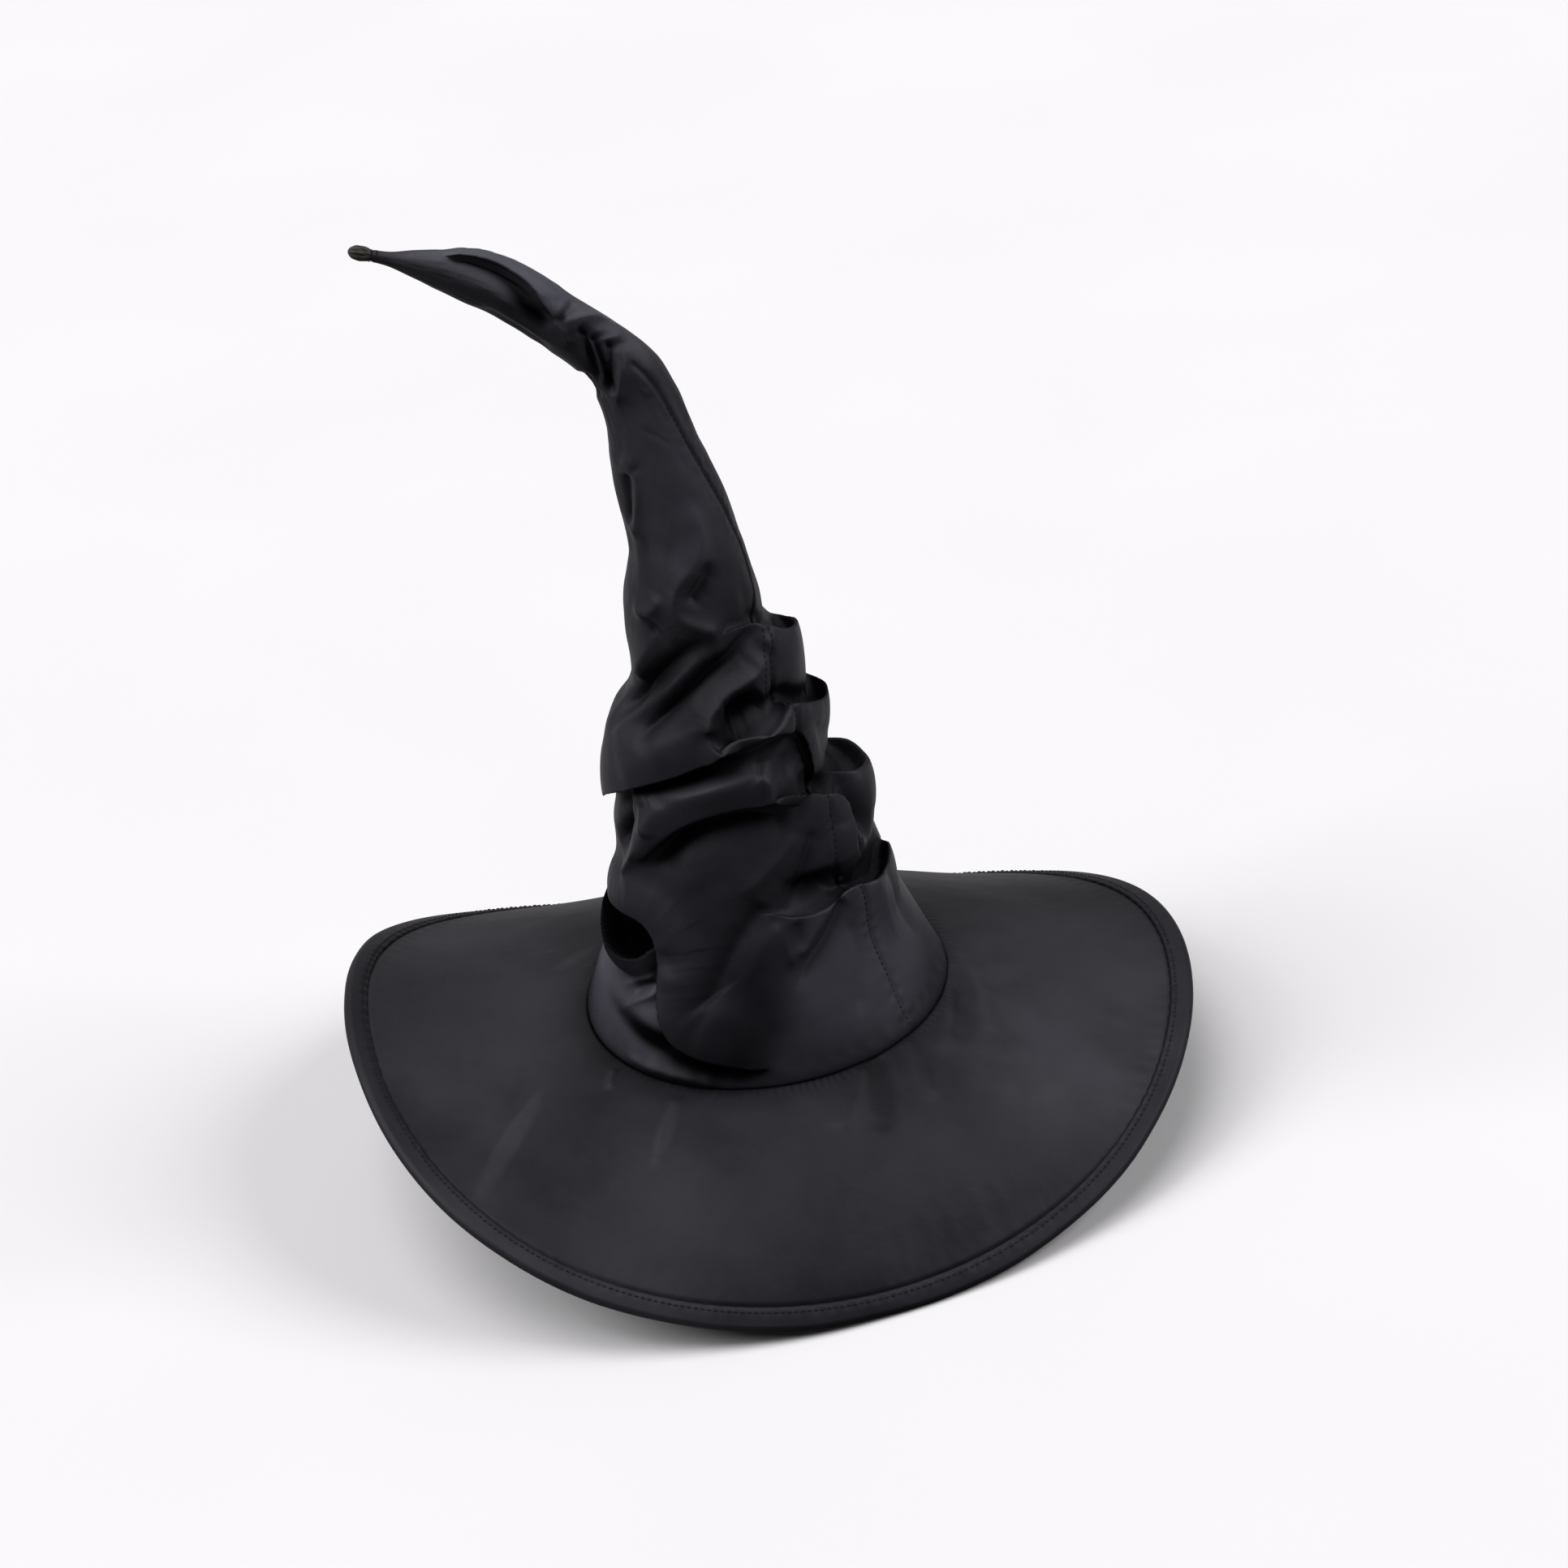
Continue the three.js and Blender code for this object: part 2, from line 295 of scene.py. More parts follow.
# Radius of the unfolded cone by height, towards the hat's -X side, its +X side and its front and back.
RADIUS_MINUS_X = [
    (-4, 92), (0, 94), (10, 90), (25, 84), (41, 75), (70, 68), (100, 63), (118, 62), (140, 60), (158, 57),
    (170, 53), (180, 43), (190, 38), (214, 36), (236, 33), (250, 28), (262, 25), (290, 24), (307, 22),
    (325, 18), (345, 16),
]
RADIUS_PLUS_X = [
    (-4, 92), (0, 94), (10, 90), (25, 84), (45, 76), (60, 71), (75, 67), (92, 67), (106, 65), (120, 54),
    (130, 51), (158, 51), (170, 46), (196, 42), (210, 33), (230, 31), (257, 28), (277, 26), (305, 21),
    (330, 19), (345, 18),
]
RADIUS_FRONT = [
    (-4, 92), (0, 94), (10, 90), (25, 85), (50, 78), (75, 72), (100, 66), (130, 60), (150, 56), (175, 51),
    (195, 44), (215, 38), (237, 33), (262, 29), (300, 23), (325, 19), (345, 16),
]
TIP_RADIUS = [(358, 15), (372, 14), (400, 13.5), (425, 12), (440, 10), (456, 6.5), (468, 3.4), (478, 2.6)]


def radius_of(profile, v):
    fine = curve_through(profile + TIP_RADIUS, 2.0)
    return np.interp(v, np.maximum.accumulate(fine[:, 0]), fine[:, 1])


class Cloth:
    """The cone's cloth as a grid of rows up it and columns round it, and the folds pushed into it."""

    def __init__(self, heights, columns):
        self.spine = Spine()
        self.v = heights
        self.u = np.linspace(-180, 180, columns, endpoint=False)
        self.U, self.V = np.meshgrid(self.u, self.v)
        turn = np.radians(self.U)
        side = np.sin(turn) ** 2
        plus, minus, front = (
            radius_of(profile, self.v)[:, None] for profile in (RADIUS_PLUS_X, RADIUS_MINUS_X, RADIUS_FRONT)
        )
        self.radius = front * (1 - side) + np.where(np.sin(turn) > 0, plus, minus) * side
        x, z, tx, tz = (a[:, None] for a in self.spine.at(self.v))
        across = np.stack(np.broadcast_arrays(tz, 0 * tz, -tx), -1)
        along = np.stack(np.broadcast_arrays(tx, 0 * tx, tz), -1)
        depth = np.array([0.0, 1.0, 0.0])
        self.out = across * np.sin(turn)[..., None] - depth * np.cos(turn)[..., None]
        centre = np.stack(np.broadcast_arrays(x, 0 * x, z), -1)
        self.base = centre + self.out * self.radius[..., None]
        self.up = np.broadcast_to(along, self.base.shape)
        self.round = across * np.cos(turn)[..., None] + depth * np.sin(turn)[..., None]
        self.push = np.zeros(self.base.shape)  # outwards, up and round, in mm

    def near(self, path, reach):
        """The cells within reach of a path: their mask, signed distance (left of the path is positive),
        place along it in mm, its length, and its left-hand direction at the nearest point."""
        line = curve_through(path, 5.0)
        middle = np.interp(line[:, 1], self.v, self.radius.mean(1))
        deg = np.radians(1) * middle
        x = np.r_[0, np.cumsum(np.diff(line[:, 0]) * (deg[1:] + deg[:-1]) / 2)]
        step = np.c_[np.gradient(x), np.gradient(line[:, 1])]
        step /= np.maximum(np.linalg.norm(step, axis=1, keepdims=True), 1e-9)
        along = np.r_[0, np.cumsum(np.hypot(np.diff(x), np.diff(line[:, 1])))]
        gap = (self.U - line[:, 0].mean() + 180) % 360 - 180
        widest = np.abs(line[:, 0] - line[:, 0].mean()).max() + np.degrees(reach / max(middle.min(), 8))
        lowest, highest = line[:, 1].min() - reach, line[:, 1].max() + reach
        mask = (np.abs(gap) < widest) & (self.V > lowest) & (self.V < highest)
        u, v = self.U[mask], self.V[mask]
        du = ((u[:, None] - line[None, :, 0] + 180) % 360 - 180) * deg[None]
        dv = v[:, None] - line[None, :, 1]
        square = du**2 + dv**2
        nearest = np.argmin(square, axis=1)
        pick = np.arange(len(u))
        share = np.exp((square[pick, nearest][:, None] - square) / (2 * BLEND**2))
        share /= share.sum(1, keepdims=True)
        place = (share * (along + du * step[:, 0] + dv * step[:, 1])).sum(1)
        left = share @ np.c_[-step[:, 1], step[:, 0]]
        du, dv, step = du[pick, nearest], dv[pick, nearest], step[nearest]
        across = dv * step[:, 0] - du * step[:, 1]
        hard_place = along[nearest] + du * step[:, 0] + dv * step[:, 1]
        over = np.maximum(np.maximum(hard_place - along[-1], -hard_place), 0)
        signed = np.where(across >= 0, 1, -1) * np.hypot(across, over)
        return mask, signed, np.clip(place, 0, along[-1]), along[-1], left

    def ridge(self, path, height, width, ends, crest=1.5):
        """A fold that stands out, or a valley if height is negative. Height is one number or one for each
        point, and width is one number, or one for the left of the path and one for its right."""
        left_width, right_width = width if np.ndim(width) else (width, width)
        mask, d, place, length, _ = self.near(path, 4 * max(left_width, right_width))
        wide = np.where(d > 0, left_width, right_width)
        shape = np.exp((crest - np.sqrt(d * d + crest * crest)) / wide)
        tall = self.along(height, place, length)
        self.push[mask, 0] += tall * shape * self.taper(place, length, ends)

    def pleat(self, path, outer, depth, lap, width, reach, ends, sink=1.0):
        """Cloth folded over itself. The path is the fold's lip: the layer on its outer side, left or right,
        stands out by depth and hangs over the other one, which sinks by sink times depth and runs back by
        lap to the fold's root."""
        sign = {"left": 1, "right": -1}[outer]
        widest = 3 * max(width, np.max(reach[0]), reach[1]) + np.max(lap)
        mask, d, place, length, left = self.near(path, widest)
        fade = self.taper(place, length, ends)
        tall = self.along(depth, place, length) * fade
        far = self.along(lap, place, length) * fade
        d = sign * d - far
        x = np.abs(d) / width
        level = np.where(x < 0.6, np.sin(np.clip(x / 0.6, 0, 1) * np.pi / 2), 1)
        flat = np.where(d > 0, width, np.maximum(far + 1.5, 0.6 * width))
        outer_reach = self.along(reach[0], place, length)
        decay = np.where(d > 0, outer_reach, reach[1])
        level = level * np.exp(-(np.maximum(np.abs(d) - flat, 0) / decay) ** 2)
        self.push[mask, 0] += np.where(d > 0, 1, -sink) * level * tall
        rise = np.sin(np.pi * np.clip(x, 0, 0.5))
        fall = np.cos(np.clip((np.abs(d) - 0.5 * width) / (1.2 * decay), 0, 1) * np.pi / 2) ** 2
        shift = np.where(x < 0.5, rise, fall)
        move = -sign * shift * np.where(d > 0, far + 0.5 * width * fade, -0.2 * far)
        self.push[mask, 1] += move * left[:, 1]
        self.push[mask, 2] += move * left[:, 0]

    def dimple(self, place, depth, size):
        """A rounded hollow, or a bulge if depth is negative; size is its half width and half height."""
        du = ((self.U - place[0] + 180) % 360 - 180) * np.radians(1) * self.radius
        dv = self.V - place[1]
        self.push[..., 0] -= depth * np.exp(-((du / size[0]) ** 2 + (dv / size[1]) ** 2))

    @staticmethod
    def along(values, place, length):
        """Values spread evenly along a path, at places on it; or a single value as it is."""
        if np.ndim(values) == 0:
            return values
        return np.interp(place / length, np.linspace(0, 1, len(values)), values)

    @staticmethod
    def taper(place, length, ends):
        """1 along a path, falling to 0 over the distances ends at its start and stop."""
        return smooth(0, ends[0], place) * smooth(0, ends[1], length - place)

    def inner_radius(self, heights, turns):
        """The room inside the cloth, as a smooth line through its deepest folds, at heights up the spine
        and turns from 0 to 1 round from the front."""
        inside = self.radius + self.push[..., 0]
        columns = len(self.u)
        steps = range(-columns // 24, columns // 24 + 1, 3)
        lowest = np.min([np.roll(inside, k, 1) for k in steps], axis=0)
        lowest = np.mean([np.roll(lowest, k, 1) for k in steps], axis=0)
        result = []
        for height in heights:
            rows = np.abs(self.v - height) < 4
            line = lowest[rows].min(0)
            result.append(np.interp(turns * 360, self.u + 180, np.roll(line, -columns // 2), period=360))
        return np.array(result)

    def on_cloth(self, grid, degrees, heights):
        """Values of a grid, such as its points, at places on the cloth."""
        row = np.interp(heights, self.v, np.arange(len(self.v)))
        column = (np.asarray(degrees) + 180) / 360 * len(self.u)
        r, c = np.minimum(row.astype(int), len(self.v) - 2), np.floor(column).astype(int)
        fr, fc = (row - r)[:, None], (column - c)[:, None]
        c0, c1 = c % len(self.u), (c + 1) % len(self.u)
        lower = grid[r, c0] * (1 - fc) + grid[r, c1] * fc
        upper = grid[r + 1, c0] * (1 - fc) + grid[r + 1, c1] * fc
        return lower * (1 - fr) + upper * fr

    def points(self):
        return (
            self.base
            + self.out * self.push[..., :1]
            + self.up * self.push[..., 1:2]
            + self.round * self.push[..., 2:]
        )


# ---------------------------------------------------------------- the folds, as sewn and settled
SEAM = [
    (48, -4), (48, 20), (47, 48), (46, 70), (42, 84), (42, 98), (46, 114), (48, 128), (50, 144), (49, 158),
    (45, 170), (42, 184), (44, 196), (52, 210), (62, 222), (70, 236), (74, 252), (66, 270), (59, 290),
    (51, 312), (42, 335), (34, 352),
]


# Folds that stand out, and valleys where the height is negative: path, height, width, ends and crest.
RIDGES = [
    # the hook-shaped fold that ends in the highest pleat, with the hollow it closes round
    ([(24, 288), (23, 270), (11, 258), (-4, 251), (-13, 243), (-12, 235), (-4, 230), (8, 225), (22, 221)],
     [0.8, 1.8, 2.8, 3.8, 4.6, 4.8, 4.8, 4.4, 2.6], (3.6, 7), (14, 8)),
    ([(28, 258), (16, 249), (3, 243), (-6, 238)], [-1.5, -3.4, -3.4, -2], 4, (8, 5)),
    ([(-62, 236), (-46, 235), (-33, 238), (-22, 246)], [2, 3.2, 2.8, 1.2], (4, 3), (8, 6)),
    ([(-40, 226), (-30, 230)], -1.8, 5, (3, 3)),
    # a tuck down the -X side, and soft hollows
    ([(-43, 307), (-50, 292), (-60, 275)], -4, 3, (6, 8)),
    ([(-30, 308), (-34, 294), (-45, 278), (-57, 267)], [1.4, 2.4, 2.4, 1.6], (2.5, 6), (6, 10)),
    ([(-50, 313), (-38, 311), (-26, 306)], 1.6, 3, (5, 5)),
    ([(-30, 276), (-40, 258)], -1.2, 7, (8, 8)),
    ([(-7, 326), (11, 320), (28, 312)], -0.4, 0.9, (5, 5), 0.5),
    ([(16, 345), (27, 337)], 0.4, 1, (3, 3), 0.5),
    # highest pleat
    ([(58, 212), (56, 208), (49, 206), (42, 203)], 2.6, (3, 3), (3, 4)),
    # slanting valleys between the two upper pleats
    ([(14, 220), (0, 218), (-14, 213), (-30, 206), (-50, 195), (-70, 183), (-88, 174)],
     [-1.5, -4.6, -6.2, -6.6, -6.4, -6, -4], 4.6, (8, 12), 2.5),
    ([(-30, 226), (-44, 216), (-58, 204), (-70, 196)], [1, 2.6, 3.2, 2.4], (6, 5), (8, 8)),
    ([(24, 215), (10, 214), (-8, 209), (-22, 202), (-38, 192), (-50, 185), (-64, 176), (-76, 169)],
     [0.6, 1.4, 2, 2.4, 2.8, 3.4, 4, 3], 3.5, (8, 12)),
    ([(50, 212), (36, 211), (24, 209), (9, 206), (-4, 201), (-18, 193), (-33, 184), (-43, 177), (-48, 170)],
     [-1, -3.6, -5, -5.6, -5.6, -5, -4.2, -3.2, -1.8], 3.2, (8, 8)),
    ([(36, 205), (21, 202), (8, 199), (-4, 194), (-12, 187)], [-1, -1.8, -2, -1.8, -1], 3.4, (6, 10)),
    ([(-20, 178), (-40, 170), (-64, 160)], [0.8, 1.8, 2], 8, (12, 12)),
    # the hooked fold and the hollow it closes round
    ([(42, 204), (35, 199), (24, 197), (12, 195), (4, 191), (-1, 187), (-3, 182), (-2, 177)],
     [1, 2.6, 4.2, 5.4, 6, 6.2, 6, 4], (2.6, 4.6), (6, 5)),
    ([(34, 187), (24, 185), (14, 183), (5, 182)], [-3, -7, -9, -7], (4, 4), (6, 3), 2.5),
    # second pleat and the thick roll under it
    ([(6, 171), (19, 171.5), (34, 172), (46, 170)], [1, 2, 2.4, 1.4], (3, 5), (8, 6)),
    # the roll under the thick one, the panel beside the seam, and the third pleat
    ([(-62, 138), (-48, 144), (-36, 147.5), (-24, 150), (-12, 152), (-2, 154), (9, 155), (17, 153)],
     [1.5, 2.6, 3.4, 3.6, 3.8, 3.8, 3.6, 2.6], (2.6, 6), (8, 3)),
    ([(16, 155), (19, 149), (23, 143), (30, 137), (42, 131)], [2, 3.6, 3.8, 3.4, 2], (3, 3.5), (3, 6)),
    ([(-60, 141), (-47, 147), (-37, 145)], 2, 2.2, (4, 4)),
    ([(-46, 142), (-45, 136), (-43, 129)], 2.2, 2.2, (3, 3)),
    ([(-46, 112), (-37, 121), (-26, 128), (-12, 132), (4, 133), (18, 130), (28, 126)], -2.6, (3, 9), (12, 8)),
    # the edge down the -X side with the sunk panel beside it
    ([(-36, 148), (-40, 136), (-43, 130), (-52, 117), (-59, 106), (-68, 95)], [2, 3, 4, 4.8, 4.8, 3], (5, 3),
     (5, 8)),
    ([(-56, 137), (-63, 123), (-74, 107)], [-3, -5.5, -4], 4, (6, 10)),
    # the smooth panel's slanting light fold
    ([(34, 125), (24, 115), (14, 108), (4, 101), (-6, 94)], [1, 2.2, 2.6, 2.2, 1], (7, 5), (8, 10)),
    ([(38, 118), (30, 106), (22, 95), (12, 89)], [-1.6, -3, -3.4, -2.4], 5, (8, 8)),
    ([(-28, 124), (-26, 108), (-20, 96)], 1.2, 9, (12, 12)),
    # lowest pleat, and what fans out from it down to the brim
    ([(7, 78), (9, 70), (11, 61), (12, 52)], [1.4, 2.2, 2, 0.8], (2, 2.8), (5, 8)),
    ([(15, 76), (16, 69), (16, 62)], -2, 2.4, (5, 6)),
    ([(38, 79), (28, 72), (20, 66), (12, 57)], [2.4, 3.2, 2.6, 1], 3, (4, 8)),
    ([(38, 75), (32, 68), (24, 61), (16, 52), (8, 40)], [-2.4, -4.2, -4.2, -3, -1], 3.6, (4, 14)),
    ([(38, 68), (38, 50), (34, 34), (31, 19)], -1.2, 3, (8, 10)),
    ([(54, 73), (58, 58), (62, 38)], 1.6, 5, (5, 14)),
    ([(64, 70), (72, 48), (76, 24)], -1.4, 6, (8, 14)),
    ([(9, 88), (1, 82), (-5, 75), (-10, 67), (-15, 57), (-19, 46), (-24, 33), (-26, 24)],
     [-1.5, -3.6, -4.6, -4.6, -4.2, -3.6, -2.8, -1.5], (7, 7), (8, 16), 2.5),
    ([(6, 74), (0, 66), (-5, 56), (-10, 45)], 1, (4, 9), (8, 16)),
    # the bag of cloth that hangs over the band on the -X side, with a deep pocket behind its rim
    ([(-36, 72), (-33, 64), (-30, 54)], -1.5, 3.4, (8, 10)),
    ([(-56, 4), (-42, 4), (-28, 4), (-16, 2)], [0.8, 2.2, 2.4, 1], 2.5, (10, 10)),
    ([(-44, 49), (-50, 45), (-57, 39), (-64, 31)], [2.4, 2.4, 1.8, 0.6], 1.8, (3, 7)),
    ([(-43, 40), (-49, 35), (-56, 28), (-62, 20)], [2.2, 2.2, 1.4, 0.5], 1.6, (3, 7)),
    ([(-44, 44.5), (-50, 40), (-56, 34)], -1.6, 1.4, (2, 6)),
    # the back, which ruches up in the same pleats as the front
    ([(100, 92), (130, 84), (160, 88), (190, 92)], 4, 7, (20, 20)),
    ([(140, 222), (170, 214), (200, 206), (230, 196)], -4.2, 5, (16, 16)),
    ([(120, 236), (150, 240), (185, 232)], 3.4, 5, (14, 14)),
    ([(170, 132), (195, 124), (220, 132)], -4.4, 6, (14, 14)),
    ([(130, 44), (160, 40), (190, 30)], -3.4, 7, (18, 18)),
    ([(200, 50), (225, 40), (245, 22)], 3.6, 7, (18, 18)),
    ([(150, 175), (175, 168), (205, 166), (235, 168)], 3.6, 5, (16, 16)),
    # cloth crowds into the inside of the elbow, under a ridge that rides over its top
    ([(20, 388), (32, 384), (48, 380), (64, 374), (66, 368), (56, 363), (44, 360)],
     [1.4, 2.8, 3.6, 3.6, 3, 2.4, 1.6], 2.8, (4, 5), 1),
    ([(34, 380), (20, 374), (-4, 368), (-24, 361), (-50, 352)], [-3, -4.8, -4.8, -4, -2], 2.2, (3, 8), 0.8),
    ([(28, 376), (8, 368), (-10, 360), (-26, 351)], [1.4, 2.2, 2.2, 1.2], 1.6, (3, 5), 0.8),
    ([(36, 373), (8, 364), (-14, 355), (-30, 345)], [-2.6, -4.2, -4.2, -2.4], 1.8, (3, 6), 0.8),
    ([(40, 369), (20, 363), (0, 357)], 1.8, 1.8, (3, 5), 0.8),
    ([(43, 366), (17, 360), (-12, 353), (-28, 345)], [-2.4, -4, -4, -2], 2, (3, 6), 0.8),
    ([(46, 361), (22, 355), (-6, 348), (-32, 338)], [1.4, 2.6, 2.8, 1.4], (2.4, 4), (4, 8), 0.8),
    # a long fold runs out along the tip over a dark hollow
    ([(18, 394), (3, 384), (-16, 377)], 1.6, 2, (4, 5), 0.8),
    ([(-60, 380), (-52, 405), (-48, 430)], -2, 4, (10, 14)),
    ([(120, 385), (135, 410), (140, 440)], 2.4, 4, (12, 14)),
    ([(170, 376), (160, 396), (165, 420)], -2.4, 4, (10, 14)),
]
RIDGES += [
    ([(degrees + 4, 366), (degrees, 356), (degrees - 4, 342)], depth, 2.4, (5, 8), 0.8)
    for degrees, depth in ((-62, -2.6), (-88, -2.4), (-116, -2.0))
]
# Cloth folded over itself: lip's path, side of the outer layer, depth, lap, width, reach, ends and sink.
PLEATS = [
    # highest pleat
    ([(10, 222), (24, 221), (36, 220), (48, 218), (58, 214), (72, 207), (90, 202), (112, 198), (132, 200)],
     "right", [0.6, 1.4, 2.2, 2.8, 3.6, 4, 4, 3.4, 2], [0, 1, 2, 3, 4, 5, 6, 5, 2], 6, (14, 8), (12, 20)),
    # second pleat and the thick roll under it
    ([(-8, 180), (-3, 176), (4, 174), (13, 174), (24, 176), (34, 177.5), (44, 179), (52, 176), (62, 171),
     (78, 165), (98, 162), (122, 164)], "right", [1.6, 3, 4, 4.4, 4.4, 4.2, 4, 3.6, 4.2, 4.8, 4.2, 2.5],
     [0.2, 0.8, 1.6, 2.2, 2.6, 2.6, 2.6, 3, 5, 7, 6, 3], 4, ([4, 4, 4, 4, 4, 4, 4, 6, 9, 9, 9, 9], 6),
     (6, 22)),
    ([(-112, 124), (-92, 126), (-78, 134), (-66, 141), (-54, 147), (-39, 154), (-22, 160), (-6, 165),
     (12, 168), (28, 168), (40, 166), (48, 160), (51, 150), (51, 138), (49, 130)], "left",
     [1.4, 2.2, 3.6, 5, 5.6, 5.6, 5.4, 5.2, 5, 4.6, 3.6, 2.4, 2, 1.6, 1],
     [0.6, 1, 2.4, 4.5, 6, 6, 5, 4.5, 4, 3, 2, 1, 0.5, 0.5, 0.5], 5,
     ([14, 14, 14, 14, 14, 13, 11, 9, 8, 7, 6, 5, 5, 5, 5], 7), (18, 8)),
    # the roll under the thick one, the panel beside the seam, and the third pleat
    ([(-52, 104), (-43, 117), (-32, 128), (-22, 135), (-10, 139), (4, 140), (18, 137), (28, 133), (38, 127)],
     "left", [1.8, 3, 3.6, 4, 4, 3.8, 3.4, 2.4, 1.2], [0, 0.5, 1, 1.5, 1.5, 1.5, 1.5, 1, 0.5], 8, (6, 9),
     (18, 8)),
    ([(18, 149), (24, 141), (32, 137), (40, 133), (48, 128), (56, 124), (61, 117), (59, 110), (56, 103),
     (54, 96), (56, 89), (60, 84)], "right", [1, 2.4, 3.4, 3.8, 4, 4.6, 5.2, 5.2, 4.8, 4.2, 3.4, 2],
     [0, 1, 2.5, 3, 3, 4, 5, 5, 4, 3, 2, 0], 4.5, (8, 7), (5, 6)),
    ([(64, 131), (78, 122), (96, 116), (114, 114), (134, 118)], "right", [2, 4.4, 5, 4.2, 2], [2, 5, 7, 6, 3],
     6, (10, 9), (8, 18)),
    # lowest pleat, and what fans out from it down to the brim
    ([(0, 83), (8, 83), (14, 80), (22, 78), (30, 79), (37, 81), (44, 81), (51, 78), (60, 75), (70, 73),
     (84, 74), (98, 70)], "right", [0.4, 1, 1.8, 2.8, 3.6, 4.2, 4.6, 4.6, 4.4, 4, 3.4, 2],
     [0, 0.2, 0.6, 1.5, 3, 4, 4.5, 5, 5, 5, 4, 2], 5, (12, 9), (14, 16)),
    # the bag of cloth that hangs over the band on the -X side, with a deep pocket behind its rim
    ([(-96, 76), (-82, 75), (-68, 77), (-55, 79), (-47, 77), (-42, 69), (-40, 55), (-39, 42), (-37, 32),
     (-32, 24), (-24, 19), (-16, 15), (-8, 10), (0, 5)], "left",
     [4, 7, 8.5, 8.5, 7.5, 6.5, 6, 6.5, 8.5, 10, 10.5, 8.5, 5, 1.5],
     [2, 3, 3, 3, 2, 2, 2, 2, 3, 5, 6, 6, 4, 1], 6,
     ([10, 10, 10, 10, 11, 12, 13, 13, 13, 13, 14, 14, 12, 10], 6), (14, 14), 0.5),
    ([(-108, 76), (-98, 69), (-88, 62), (-77, 56), (-67, 53), (-58, 54), (-51, 58), (-46, 65)], "right",
     [1, 4, 6.5, 8, 8, 7, 5, 2], [1, 3, 4, 5, 5, 4, 3, 1], 3, (4, 5), (10, 5), 0.8),
    # the back, which ruches up in the same pleats as the front
    ([(118, 196), (140, 190), (165, 188), (190, 182), (215, 178), (240, 176)], "right",
     [2, 3.5, 4, 4, 3.5, 2], [2, 4, 5, 5, 4, 2], 6, (11, 9), (20, 20)),
    ([(112, 150), (135, 148), (160, 140), (185, 142), (210, 148), (232, 158)], "left", [2, 4, 5, 5, 4, 2],
     [2, 5, 6, 6, 4, 2], 6, (12, 9), (20, 20)),
    ([(130, 112), (150, 106), (175, 108), (200, 114), (225, 112), (248, 116)], "right", [2, 4, 5, 5, 4, 2],
     [2, 5, 6, 6, 5, 2], 6, (13, 9), (20, 20)),
    ([(96, 66), (120, 58), (150, 62), (180, 70), (210, 66), (240, 72)], "left", [2, 4, 5, 5, 4, 2],
     [2, 4, 5, 5, 4, 2], 6, (14, 9), (22, 22)),
    # a long fold runs out along the tip over a dark hollow
    ([(19, 388), (25, 394), (34, 401), (46, 409), (53, 416), (60, 425), (62, 435), (58, 447)], "right",
     [2, 3, 3.6, 3.6, 3.2, 2.8, 2, 1], [1, 2, 3, 3, 3, 2.5, 2, 0.5], 3.5, (7, 6), (4, 8)),
]
# Hollows, and bulges where the depth is negative: place, depth and size.
DIMPLES = [
    # a tuck down the -X side, and soft hollows
    ((43, 346), -1.6, (10, 12)),
    # the roll under the thick one, the panel beside the seam, and the third pleat
    ((36, 150), 4.6, (10, 8)),
    ((-14, 157), 2, (30, 2.5)),
    ((69, 106), 7, (5, 13)),
    # lowest pleat, and what fans out from it down to the brim
    ((27, 87), 8, (12, 6)),
    # the bag of cloth that hangs over the band on the -X side, with a deep pocket behind its rim
    ((-66, 66), 20, (15, 7.5)),
    ((-20, 38), -5, (28, 24)),
    ((-36, 15), 3, (12, 4.5)),
    ((-20, 12), 2, (10, 3.5)),
    # a long fold runs out along the tip over a dark hollow
    ((8, 398), 5.5, (7, 10)),
]


def ruched_cloth(rows, columns):
    cloth = Cloth(rows, columns)
    for fold in RIDGES:
        cloth.ridge(*fold)
    for fold in PLEATS:
        cloth.pleat(*fold)
    for fold in DIMPLES:
        cloth.dimple(*fold)
    sew_seam(cloth)
    wrinkle(cloth)
    return cloth


def sew_seam(cloth):
    """The seam up the +X front, pulled in by its thread, with small puckers on each side."""
    mask, d, place, length, _ = cloth.near(SEAM, 12)
    pucker = np.sin(place * 2 * np.pi / 7.0 + 1.6 * np.sin(place / 11.0))
    groove = np.exp(-(d / 1.3) ** 2)
    cloth.push[mask, 0] -= 1.1 * groove
    some = 0.14 * smooth(0, 20, length - place) * (1 + value_noise(place / 9, place * 0, 64, 51))
    cloth.push[mask, 0] += some * pucker * np.exp(-((np.abs(d) - 3.2) / 2.4) ** 2)


